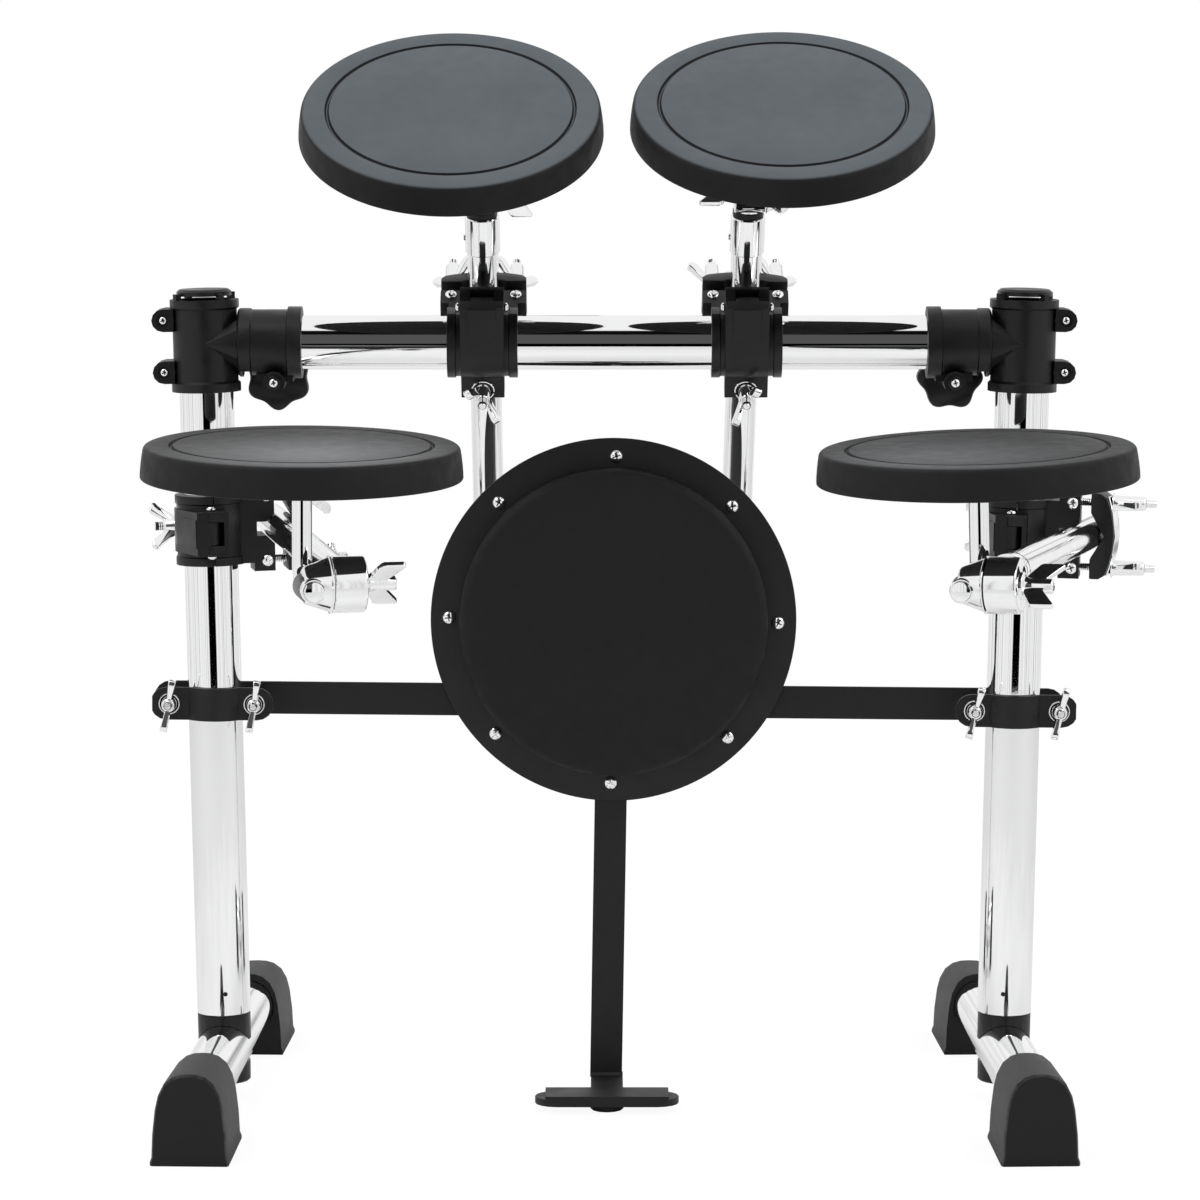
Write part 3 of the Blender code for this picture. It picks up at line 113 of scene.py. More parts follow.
# Node helpers

class Shader:
    """A Principled material with short calls for the nodes behind it."""

    def __init__(self, name, colour, metallic=0.0, roughness=0.5, **sockets):
        self.material = bpy.data.materials.new(name)
        self.material.use_nodes = True
        self.tree = self.material.node_tree
        self.bsdf = self.tree.nodes["Principled BSDF"]
        self.set("Base Color", (*colour, 1.0))
        self.set("Metallic", metallic)
        self.set("Roughness", roughness)
        for socket, value in sockets.items():
            self.set(socket.replace("_", " "), value)
        self.texture = self.tree.nodes.new("ShaderNodeTexCoord")
        self.coords = self.texture.outputs["Object"]

    def set(self, socket, value):
        self.bsdf.inputs[socket].default_value = value

    def feed(self, socket, output):
        self.tree.links.new(output, self.bsdf.inputs[socket])

    def node(self, kind, inputs=None, **attributes):
        return add_node(self.tree, kind, inputs, **attributes)

    def stretched(self, scale):
        return self.node("ShaderNodeMapping", {"Vector": self.coords, "Scale": scale}).outputs[0]

    def noise(self, scale, detail=3.0, roughness=0.5, vector=None):
        inputs = {"Vector": vector or self.coords, "Scale": scale, "Detail": detail, "Roughness": roughness}
        return self.node("ShaderNodeTexNoise", inputs).outputs[0]

    def span(self, value, low, high, new_low, new_high):
        inputs = {"Value": value, "From Min": low, "From Max": high, "To Min": new_low, "To Max": new_high}
        return self.node("ShaderNodeMapRange", inputs).outputs[0]

    def mix(self, factor, first, second):
        return self.node("ShaderNodeMix", {0: factor, 6: first, 7: second}, data_type="RGBA").outputs[2]

    def bump(self, height, strength, distance, normal=None):
        inputs = {"Height": height, "Strength": strength, "Distance": distance}
        if normal:
            inputs["Normal"] = normal
        return self.node("ShaderNodeBump", inputs).outputs[0]


def add_node(tree, kind, inputs=None, **attributes):
    """New node with its attributes set and its sockets linked or filled."""
    made = tree.nodes.new(kind)
    for key, value in attributes.items():
        setattr(made, key, value)
    for key, value in (inputs or {}).items():
        if isinstance(value, bpy.types.NodeSocket):
            tree.links.new(value, made.inputs[key])
        else:
            made.inputs[key].default_value = value
    return made


def make_chrome():
    """Bright nickel-chrome plate with faint wipe marks."""
    s = Shader("chrome_plate", (0.93, 0.932, 0.936), 1.0, 0.04)
    smears = s.noise(38.0, 4.0, 0.6, s.stretched((1.0, 1.0, 0.35)))
    s.feed("Roughness", s.span(smears, 0.35, 0.75, 0.02, 0.075))
    s.feed("Normal", s.bump(s.noise(220.0, 2.0), 0.015, 0.0004))
    return s.material


def make_cast_chrome():
    """Chrome plate over a casting: the same plate, slightly wavy underneath."""
    s = Shader("cast_chrome", (0.92, 0.922, 0.926), 1.0, 0.06)
    s.feed("Roughness", s.span(s.noise(60.0, 4.0), 0.3, 0.7, 0.035, 0.10))
    s.feed("Normal", s.bump(s.noise(70.0, 3.0), 0.08, 0.0006))
    return s.material


def make_dull_cast():
    """Dark grey matt casting with a mottled tone."""
    s = Shader("dull_casting", (0.30, 0.30, 0.305), 1.0, 0.5)
    s.feed("Base Color", s.mix(s.noise(240.0, 5.0), (0.16, 0.16, 0.165, 1.0), (0.42, 0.42, 0.425, 1.0)))
    s.feed("Normal", s.bump(s.noise(1500.0, 3.0), 0.45, 0.0003))
    return s.material


def make_plastic():
    """Satin black nylon with a fine moulded grain."""
    s = Shader("black_nylon", (0.0045, 0.0046, 0.0056), 0.0, 0.36, Specular_IOR_Level=0.34)
    s.feed("Roughness", s.span(s.noise(70.0, 4.0), 0.3, 0.7, 0.33, 0.46))
    s.feed("Normal", s.bump(s.noise(2600.0, 2.0), 0.22, 0.00012, s.bump(s.noise(55.0, 3.0), 0.05, 0.0006)))
    return s.material


def make_steel_paint():
    """Satin black powder coat with an orange-peel skin."""
    s = Shader("black_powder_coat", (0.0066, 0.0066, 0.0072), 0.0, 0.45, Specular_IOR_Level=0.35)
    s.feed("Roughness", s.span(s.noise(40.0, 4.0), 0.3, 0.7, 0.42, 0.55))
    s.feed("Normal", s.bump(s.noise(900.0, 2.0), 0.25, 0.00015))
    return s.material


def make_pad_rubber(name, top, side, sheen_at=None, sheen_gain=1.0):
    """Moulded rubber: a matt playing face with soft mottling, and darker smooth flanks.

    sheen_at is where a painted sheen pales the face, in metres from its middle.
    """
    s = Shader(name, side, 0.0, 0.6, Specular_IOR_Level=0.25)
    facing = s.node("ShaderNodeSeparateXYZ", {"Vector": s.texture.outputs["Normal"]}).outputs[2]
    face = s.span(facing, 0.72, 0.985, 0.0, 1.0)
    clouds = s.span(s.noise(14.0, 6.0, 0.62), 0.3, 0.72, 0.0, 1.0)
    lighter = tuple(c * 1.12 for c in top)
    darker = tuple(c * 0.91 for c in top)
    playing = s.mix(clouds, (*darker, 1.0), (*lighter, 1.0))
    # Painted sheen: a paler spot on the playing face stands in for the light it catches.
    if sheen_at:
        away = s.node("ShaderNodeVectorMath", {0: s.coords, 1: (*sheen_at, 0.026)}, operation="DISTANCE").outputs["Value"]
        painted_sheen = s.span(away, 0.015, 0.105, 1.0, 0.0)
        playing = s.mix(painted_sheen, playing, (*(c * sheen_gain for c in lighter), 1.0))
    s.feed("Base Color", s.mix(face, (*side, 1.0), playing))
    s.feed("Roughness", s.span(s.noise(90.0, 5.0), 0.3, 0.7, 0.52, 0.66))
    s.feed("Normal", s.bump(s.noise(3200.0, 2.0), 0.25, 0.0001, s.bump(s.noise(160.0, 4.0), 0.08, 0.0004)))
    return s.material


def make_foot_rubber():
    """Black rubber, grey and scuffed on the flanks that get handled."""
    s = Shader("foot_rubber", (0.009, 0.009, 0.010), 0.0, 0.62, Specular_IOR_Level=0.30)
    facing = s.node("ShaderNodeSeparateXYZ", {"Vector": s.texture.outputs["Normal"]}).outputs[1]
    turned = s.node("ShaderNodeMath", {0: facing}, operation="ABSOLUTE").outputs[0]
    flank = s.span(turned, 0.45, 0.8, 1.0, 0.0)
    streaks = s.span(s.noise(42.0, 9.0, 0.8, s.stretched((1.0, 0.3, 0.8))), 0.46, 0.64, 0.0, 1.0)
    scuff = s.node("ShaderNodeMath", {0: streaks, 1: flank}, operation="MULTIPLY").outputs[0]
    s.feed("Base Color", s.mix(scuff, (0.0052, 0.0052, 0.0057, 1.0), (0.085, 0.085, 0.087, 1.0)))
    s.feed("Roughness", s.span(scuff, 0.0, 1.0, 0.5, 0.78))
    s.feed("Normal", s.bump(s.noise(1400.0, 3.0), 0.3, 0.0002))
    return s.material


CHROME = make_chrome()
CAST = make_cast_chrome()
DULL = make_dull_cast()
PLASTIC = make_plastic()
STEEL = make_steel_paint()
FOOT = make_foot_rubber()
PAD_GREY = make_pad_rubber("slate_rubber", (0.089, 0.101, 0.112), (0.0066, 0.0066, 0.0078))
# The two lower pads are one rubber: the left copy is painted lighter and the right darker, as lit and shaded copies,
# each with a painted sheen on its face.
PAD_LIT_LEFT = make_pad_rubber("black_pad_rubber", (0.040, 0.041, 0.042), (0.0066, 0.0066, 0.0078), (0.010, -0.045), 3.6)
PAD_SHADED_RIGHT = make_pad_rubber("black_pad_rubber_right", (0.026, 0.027, 0.028), (0.0066, 0.0066, 0.0078), (-0.034, -0.048), 3.0)
CUSHION = make_pad_rubber("cushion_rubber", (0.0085, 0.0085, 0.0092), (0.0070, 0.0070, 0.0076))

FINISH = {"chrome": CHROME, "black_plastic": PLASTIC, "black_steel": STEEL, "grey_rubber": PAD_GREY, "black_rubber": FOOT}


# Shapes

def arc(cx, cy, radius, start, end, steps):
    turns = [math.radians(start + (end - start) * k / steps) for k in range(steps + 1)]
    return [(cx + radius * math.cos(t), cy + radius * math.sin(t)) for t in turns]


def lathe(profile, sides=48):
    """Turned solid about Z from a closed outline of (radius, height); points on the axis close it."""
    bm = bmesh.new()
    rings = []
    for radius, height in profile:
        if radius < 1e-7:
            rings.append([bm.verts.new((0.0, 0.0, height))])
            continue
        angles = [2.0 * math.pi * k / sides for k in range(sides)]
        rings.append([bm.verts.new((radius * math.cos(a), radius * math.sin(a), height)) for a in angles])
    for first, second in zip(rings, rings[1:] + rings[:1]):
        for k in range(max(len(first), len(second))):
            n = (k + 1) % sides
            corners = [first[k % len(first)], second[k % len(second)], second[n % len(second)], first[n % len(first)]]
            unique = [v for i, v in enumerate(corners) if v not in corners[:i]]
            if len(unique) > 2:
                bm.faces.new(unique)
    bmesh.ops.recalc_face_normals(bm, faces=bm.faces)
    return bm


def loft(sections):
    """Skin between outlines of equal length, given as lists of (x, y, z) points."""
    bm = bmesh.new()
    rows = [[bm.verts.new(point) for point in section] for section in sections]
    for first, second in zip(rows, rows[1:]):
        for k in range(len(first)):
            n = (k + 1) % len(first)
            bm.faces.new((first[k], first[n], second[n], second[k]))
    bm.faces.new(rows[0])
    bm.faces.new(rows[-1])
    bmesh.ops.recalc_face_normals(bm, faces=bm.faces)
    return bm


def prism(outline, bottom, top):
    return loft([[(x, y, z) for x, y in outline] for z in (bottom, top)])


def softened(bm, offset, segments=2):
    """Rounds every edge that turns by more than 28 degrees."""
    sharp = [e for e in bm.edges if e.is_manifold and e.calc_face_angle() > math.radians(28.0)]
    bmesh.ops.bevel(bm, geom=sharp, offset=offset, segments=segments, profile=0.6, affect="EDGES", clamp_overlap=True)
    return bm


def moved(bm, matrix):
    bm.transform(matrix)
    if matrix.determinant() < 0.0:
        bmesh.ops.reverse_faces(bm, faces=bm.faces)
    return bm


def shift(x=0.0, y=0.0, z=0.0):
    return Matrix.Translation((x, y, z))


def merged(*solids):
    """Several solids in one mesh."""
    result = bmesh.new()
    for solid in solids:
        mesh = bpy.data.meshes.new("scratch")
        solid.to_mesh(mesh)
        solid.free()
        result.from_mesh(mesh)
        bpy.data.meshes.remove(mesh)
    return result


def cut(first, second):
    """First solid less the second."""
    objects = []
    for solid in (first, second):
        mesh = bpy.data.meshes.new("scratch")
        solid.to_mesh(mesh)
        solid.free()
        objects.append(bpy.data.objects.new("scratch", mesh))
        bpy.context.scene.collection.objects.link(objects[-1])
    modifier = objects[0].modifiers.new("cut", "BOOLEAN")
    modifier.operation = "DIFFERENCE"
    modifier.solver = "EXACT"
    modifier.object = objects[1]
    result = bmesh.new()
    result.from_object(objects[0], bpy.context.evaluated_depsgraph_get())
    for obj in objects:
        mesh = obj.data
        bpy.data.objects.remove(obj)
        bpy.data.meshes.remove(mesh)
    return result


def threads(radius, start, end, pitch=1.3):
    """Threaded shank, ridge by ridge, with a chamfered tip."""
    profile = [(0.0, start)]
    for k in range(int((end - start) / pitch) - 1):
        at = start + k * pitch
        profile += [(radius, at + 0.35 * pitch), (radius - 0.5, at + 0.85 * pitch)]
    return lathe(profile + [(radius - 0.4, end - 0.9), (radius - 1.0, end), (0.0, end)], 24)


def wing_outline(reach, rise):
    half = [(5.4, 2.2), (reach - 2.6, rise - 6.5)] + arc(reach - 3.2, rise - 3.2, 3.2, -30.0, 90.0, 4)
    half += [(reach - 6.4, rise - 0.4), (3.8, 10.4)]
    return half + [(-x, y) for x, y in reversed(half)]


def wing_nut(turn, reach=15.4, rise=14.5, height=10.5, washer=7.2):
    """Wing nut on its washer: seat at z = 0, wings that swell towards their tips."""
    hub = lathe([(0.0, 0.0), (6.0, 0.0), (6.0, 1.4), (5.5, 2.6), (4.9, height - 1.4),
                 (4.5, height - 0.5), (3.9, height), (3.0, height), (3.0, height - 1.5), (0.0, height - 1.5)], 32)
    ring = lathe([(washer - 1.1, 0.0), (washer, 0.0), (washer + 0.1, 0.5), (washer - 0.2, 1.0), (washer - 0.9, 1.0)], 40)
    wings = prism(wing_outline(reach, rise), -1.7, 1.7)
    for vertex in wings.verts:
        vertex.co.z *= 0.75 + 0.85 * abs(vertex.co.x) / reach
    softened(wings, 1.0, 3)
    return moved(merged(hub, ring, moved(wings, TO_FRONT)), Matrix.Rotation(math.radians(turn), 4, "Z"))


def cross_screw(radius):
    """Domed head with a cross recess, seat at z = 0."""
    rise = radius * 0.62
    dome = [(radius * math.cos(math.radians(t)), 0.25 + (rise - 0.25) * math.sin(math.radians(t))) for t in range(0, 90, 15)]
    head = lathe([(0.0, -0.5), (radius, -0.5)] + dome + [(0.0, rise)], 40)
    for turn in (20.0, 110.0):
        slot = prism([(-radius * 0.58, -0.42), (radius * 0.58, -0.42), (radius * 0.58, 0.42), (-radius * 0.58, 0.42)],
                     rise - 1.3, rise + 1.0)
        head = cut(head, moved(slot, Matrix.Rotation(math.radians(turn), 4, "Z")))
    return head


def add_piece(name, bm, material, body, place, stands_for=None, sharp=35.0):
    """Make a piece from a mesh in millimetres, smooth-shaded and riding on a body."""
    bm.transform(Matrix.Scale(MM, 4))
    mesh = bpy.data.meshes.new(name)
    bm.to_mesh(mesh)
    bm.free()
    mesh.shade_smooth()
    mesh.set_sharp_from_angle(angle=math.radians(sharp))
    mesh.materials.append(material)
    obj = bpy.data.objects.new(name, mesh)
    matrix = place.copy()
    matrix.translation = place.translation * MM
    obj.matrix_world = matrix
    bpy.context.scene.collection.objects.link(obj)
    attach(obj, body)
    if stands_for:
        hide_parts(stands_for)
    return obj


# Where things are, from the record's joints and the nodes themselves

def joint_axis(name):
    return Vector(JOINTS[name]["axis"]).normalized()


def joint_at(name):
    return Vector(JOINTS[name]["pos_m"]) / MM


def frame_of(origin, x_axis, y_axis):
    """Frame with a given x axis and the y axis as near as can be to the one asked for."""
    z_axis = x_axis.cross(y_axis).normalized()
    rotation = Matrix((x_axis, z_axis.cross(x_axis), z_axis)).transposed().to_4x4()
    return Matrix.Translation(origin) @ rotation


def node_frame(node, axis, x_hint=Vector((1.0, 0.0, 0.0))):
    """Frame of a turned node: origin at its lowest ring's centre, z along its axis."""
    points = [v.co / MM for v in NODES[node].data.vertices]
    middle = sum(points, Vector()) / len(points)
    lowest = min((p - middle).dot(axis) for p in points)
    return frame_of(middle + axis * lowest, (x_hint - axis * x_hint.dot(axis)).normalized(), axis.cross(x_hint))


def clamp_frame(unit):
    """x along the clamped tube, y towards the grip block, z towards the hinge."""
    if unit.startswith("upper"):
        along = joint_axis(f"{unit}_clamp_slide")
    else:
        along = -joint_axis(f"{unit}_clamp_swing")
    at = frame_of(Vector(), along, -joint_axis(f"{unit}_closing_nut_turn"))
    return Matrix.Translation(joint_at(f"{unit}_closing_nut_turn") - at @ Vector((0.0, *CLOSING_AT))) @ at


def tube_frame(unit):
    """Origin of the gripped tube, level with the clamp's middle; z along the tube."""
    clamp = clamp_frame(unit)
    along = joint_axis(f"{unit}_tube_height" if unit.startswith("upper") else f"{unit}_arm_reach")
    y_axis = along.cross(clamp.to_3x3() @ Vector((1.0, 0.0, 0.0))).normalized()
    return frame_of(clamp @ Vector((0.0, ARM_OFFSET, 0.0)), y_axis.cross(along), y_axis)


def tilter_frame(unit):
    """Origin on the face between head and barrel, x along the tilting axis."""
    x_axis = joint_axis(f"{unit}_tilt")
    return frame_of(joint_at(f"{unit}_tilt"), x_axis, Vector((0.0, 0.0, 1.0)).cross(x_axis))


def head_frame(unit):
    return frame_of(joint_at(f"{unit}_tilt"), joint_axis(f"{unit}_tilt"), joint_axis(f"{unit}_pad_roll"))


def rod_frame(unit):
    """Origin on the rod's axis, level with its lying leg; z to the pad."""
    return Matrix.Translation(joint_at(f"{unit}_pad_roll")) @ head_frame(unit).to_3x3().to_4x4()


MIDDLE = joint_at("left_star_knob_turn") - Vector((-238.5, 27.0, BAR_Z - 27.0))


def post_frame(side):
    at = Matrix.Translation(MIDDLE) @ shift(side * POST_X, 0.0, BAR_Z)
    return at @ Matrix.Rotation(side * POST_LEAN, 4, "Y")


# CAD nodes that stay take the fuller materials and softened edges

EDGES = (("_clamp_body", 0.45), ("_clamp_jaw", 0.45), ("_tee", 0.6), ("_saddle", 0.6), ("_foot", 1.0), ("_strap", 0.4),
         ("_crossbar", 0.4), ("_strut", 0.4))
for name, obj in NODES.items():
    finish = FINISH[obj.data.materials[0].name.split(".")[0]]
    obj.data.materials.clear()
    obj.data.materials.append(finish)
    obj.data.attributes.remove(obj.data.attributes["custom_normal"])
    obj.data.shade_smooth()
    weld = obj.modifiers.new("weld", "WELD")
    weld.merge_threshold = 0.002 * MM
    for ending, width in EDGES:
        if name.endswith(ending):
            soft = obj.modifiers.new("soft_edges", "BEVEL")
            soft.width = width * MM
            soft.segments = 2
            soft.limit_method = "ANGLE"
            soft.angle_limit = math.radians(32.0)
            even = obj.modifiers.new("even_shading", "WEIGHTED_NORMAL")
            even.keep_sharp = False


# Rubber pads

def pad_profile():
    """Underside with its boss, leaning flank, rounded edge, outer band, groove and playing face."""
    base = 4.0
    top = base + PAD_THICK
    under = [(0.0, base + 10.0), (ROD_R + 0.4, base + 10.0), (ROD_R + 0.4, 0.0), (20.5, 0.0), (22.0, 0.5), (24.5, base),
             (PAD_R - 6.0, base)]
    flank = arc(PAD_R - 1.3, base + 1.3, 1.3, -90.0, 0.0, 4)
    flank += [(PAD_R - 0.15, base + 5.0), (PAD_R - 0.6, base + 10.0), (PAD_TOP_R + 0.5, base + 15.5)]
    edge = arc(PAD_TOP_R - 3.4, top - 3.8, 3.4, 4.0, 84.0, 8)
    groove = [(GROOVE_R + 2.0, top - 0.15), (GROOVE_R + 1.5, top - 0.35), (GROOVE_R + 1.0, top - 1.5),
              (GROOVE_R + 0.4, top - 2.0), (GROOVE_R - 0.4, top - 2.0), (GROOVE_R - 1.0, top - 1.5),
              (GROOVE_R - 1.5, top - 0.3), (GROOVE_R - 2.0, top - 0.1)]
    return under + flank + edge + groove + [(60.0, top), (30.0, top), (0.0, top)]


for unit in UNITS:
    node = f"{unit}_pad"
    up = head_frame(unit).to_3x3() @ Vector((0.0, 0.0, 1.0))
    upper = unit.startswith("upper")
    rubber = {"lower_left": PAD_LIT_LEFT, "lower_right": PAD_SHADED_RIGHT}.get(unit, PAD_GREY)
    pad = add_piece(f"{node}_rubber", lathe(pad_profile(), 160), rubber,
                    node, node_frame(node, up), node)


# Clamps: grip plate, its bolts and wing nuts, closing bolt, pin and screws

def grip_jaw():
    """Arched outer plate of the grip with its shallow vee, edges rounded."""
    half, crown, shoulder, face = 30.3, 69.5, 62.5, 53.0
    belly = crown - shoulder
    radius = (half * half + belly * belly) / (2.0 * belly)
    swing = math.degrees(math.asin((half - 3.0) / radius))
    apex = ARM_OFFSET + (ARM_R + 0.35) / math.sin(math.radians(60.0))
    mouth = (apex - face) * math.tan(math.radians(60.0))
    outline = arc(0.0, crown - radius, radius, 90.0 - swing, 90.0 + swing, 20)
    outline += [(-half, shoulder - 3.0), (-half, face), (-mouth, face), (0.0, apex), (mouth, face), (half, face),
                (half, shoulder - 3.0)]
    return softened(prism(outline, -13.3, 13.3), 1.0)


def grip_strip():
    """Thin bright strip that lies along the arched back under the two nuts."""
    outline = [(-28.0, 65.4), (-14.0, 68.6), (0.0, 70.4), (14.0, 68.6), (28.0, 65.4), (28.0, 64.2), (14.0, 67.6),
               (0.0, 69.4), (-14.0, 67.6), (-28.0, 64.2)]
    return softened(prism(outline, -9.0, 9.0), 0.3, 1)


for unit, spec in UNITS.items():
    clamp = f"{unit}_clamp"
    place = clamp_frame(unit)
    square = place.inverted() @ tube_frame(unit) @ shift(y=-ARM_OFFSET)
    add_piece(f"{unit}_grip_jaw", grip_jaw(), PLASTIC, clamp, place @ square, f"{unit}_grip_plate")
    add_piece(f"{unit}_grip_strip", grip_strip(), CHROME, clamp, place @ square)
    for end, turn, word in zip((-1.0, 1.0), spec["grip"], ("first", "second")):
        shank = moved(threads(2.9, 0.0, GRIP_BOLT_Y[1] - GRIP_BOLT_Y[0]), shift(y=GRIP_BOLT_Y[0]) @ TO_BACK)
        nut = moved(wing_nut(turn, 17.8, 21.0, 23.5), shift(y=GRIP_NUT_Y) @ TO_BACK)
        add_piece(f"{unit}_grip_bolt_{word}", merged(shank, nut), CAST, clamp, place @ shift(end * GRIP_X))
        add_piece(f"{unit}_grip_pin_{word}", cross_screw(4.3), CAST, clamp,
                  place @ shift(end * GRIP_X, GRIP_BOLT_Y[0], BLOCK_HALF_HEIGHT + 0.1))
        head = lathe([(0.0, -0.8), (2.7, -0.8), (3.3, 0.0), (3.1, 0.9), (2.0, 1.7), (0.0, 2.0)], 24)
        add_piece(f"{unit}_hinge_pin_{word}", head, CAST, clamp,
                  place @ shift(end * HINGE_PIN_END, *HINGE_AT) @ Matrix.Scale(end, 4, (1.0, 0.0, 0.0)) @ TO_X)
    bolt = moved(threads(3.15, 12.0, 36.6), TO_FRONT)
    add_piece(f"{unit}_closing_bolt", bolt, CAST, clamp, place @ shift(z=CLOSING_AT[1]))
    add_piece(f"{unit}_closing_wing", wing_nut(spec["closing"], 18.0, 22.0, 13.0, 8.4), CAST,
              f"{unit}_closing_nut", place @ shift(0.0, CLOSING_AT[0] + 4.65, CLOSING_AT[1]) @ TO_FRONT,
              f"{unit}_closing_nut")


# Tilters

def tilter_wing(turn):
    """Two broad paddles on a long hub, from the barrel's free end."""
    hub = lathe([(0.0, -1.0), (9.2, -1.0), (9.2, 1.4), (8.6, 2.0), (6.4, 3.0), (5.2, 5.5), (4.8, 9.0), (4.8, 20.2),
                 (4.0, 21.0), (2.9, 21.0), (2.7, 20.0), (0.0, 20.0)], 40)
    half = [(7.5, 1.5), (21.0, 8.5), (22.5, 10.5), (22.5, 23.5), (21.0, 25.0), (7.0, 15.5)]
    paddles = softened(prism(half + [(-x, y) for x, y in reversed(half)], -1.9, 1.9), 0.9, 3)
    return moved(merged(hub, moved(paddles, TO_FRONT)), Matrix.Rotation(math.radians(turn), 4, "Z"))


def barrel(turn):
    """Barrel along x from the tilting face, closed by its wing bolt."""
    body = lathe([(0.0, 0.3), (BARREL_R - 0.7, 0.3), (BARREL_R, 1.0)] + arc(BARREL_R - 1.6, BARREL_LENGTH - 2.1, 1.6, 0.0, 80.0, 5)
                 + [(BARREL_R - 4.0, BARREL_LENGTH - 0.3), (0.0, BARREL_LENGTH)], 80)
    return moved(merged(body, moved(tilter_wing(turn), shift(z=BARREL_LENGTH - 0.5))), TO_X)


def cone():
    """Head's cone with its thin rim, towards -x."""
    body = lathe([(0.0, 0.25), (BARREL_R + 0.1, 0.25), (BARREL_R + 0.4, 0.6), (BARREL_R + 0.4, 1.1), (BARREL_R, 1.5),
                  (BARREL_R - 0.9, 2.0), (12.6, 16.2), (11.9, 17.6), (10.4, 18.5), (0.0, 18.5)], 80)
    return moved(body, Matrix.Scale(-1.0, 4, (1.0, 0.0, 0.0)) @ TO_X)


def rod_path(top, leg):
    """Round rod, up from a lying leg that runs forward."""
    corner = 13.0
    stations = [(-leg, 0.0, 0.0, ROD_R - 1.0), (-leg + 0.3, 0.0, 0.0, ROD_R - 0.3), (-leg + 1.0, 0.0, 0.0, ROD_R)]
    for k in range(13):
        bend = math.radians(7.5 * k)
        stations.append((corner * (math.sin(bend) - 1.0), corner * (1.0 - math.cos(bend)), bend, ROD_R))
    stations += [(0.0, top - 0.6, math.pi / 2.0, ROD_R), (0.0, top, math.pi / 2.0, ROD_R - 0.6)]
    sections = []
    for y, z, heading, radius in stations:
        ring = arc(0.0, 0.0, radius, 0.0, 352.5, 47)
        sections.append([(u, y - v * math.sin(heading), z + v * math.cos(heading)) for u, v in ring])
    return loft(sections)


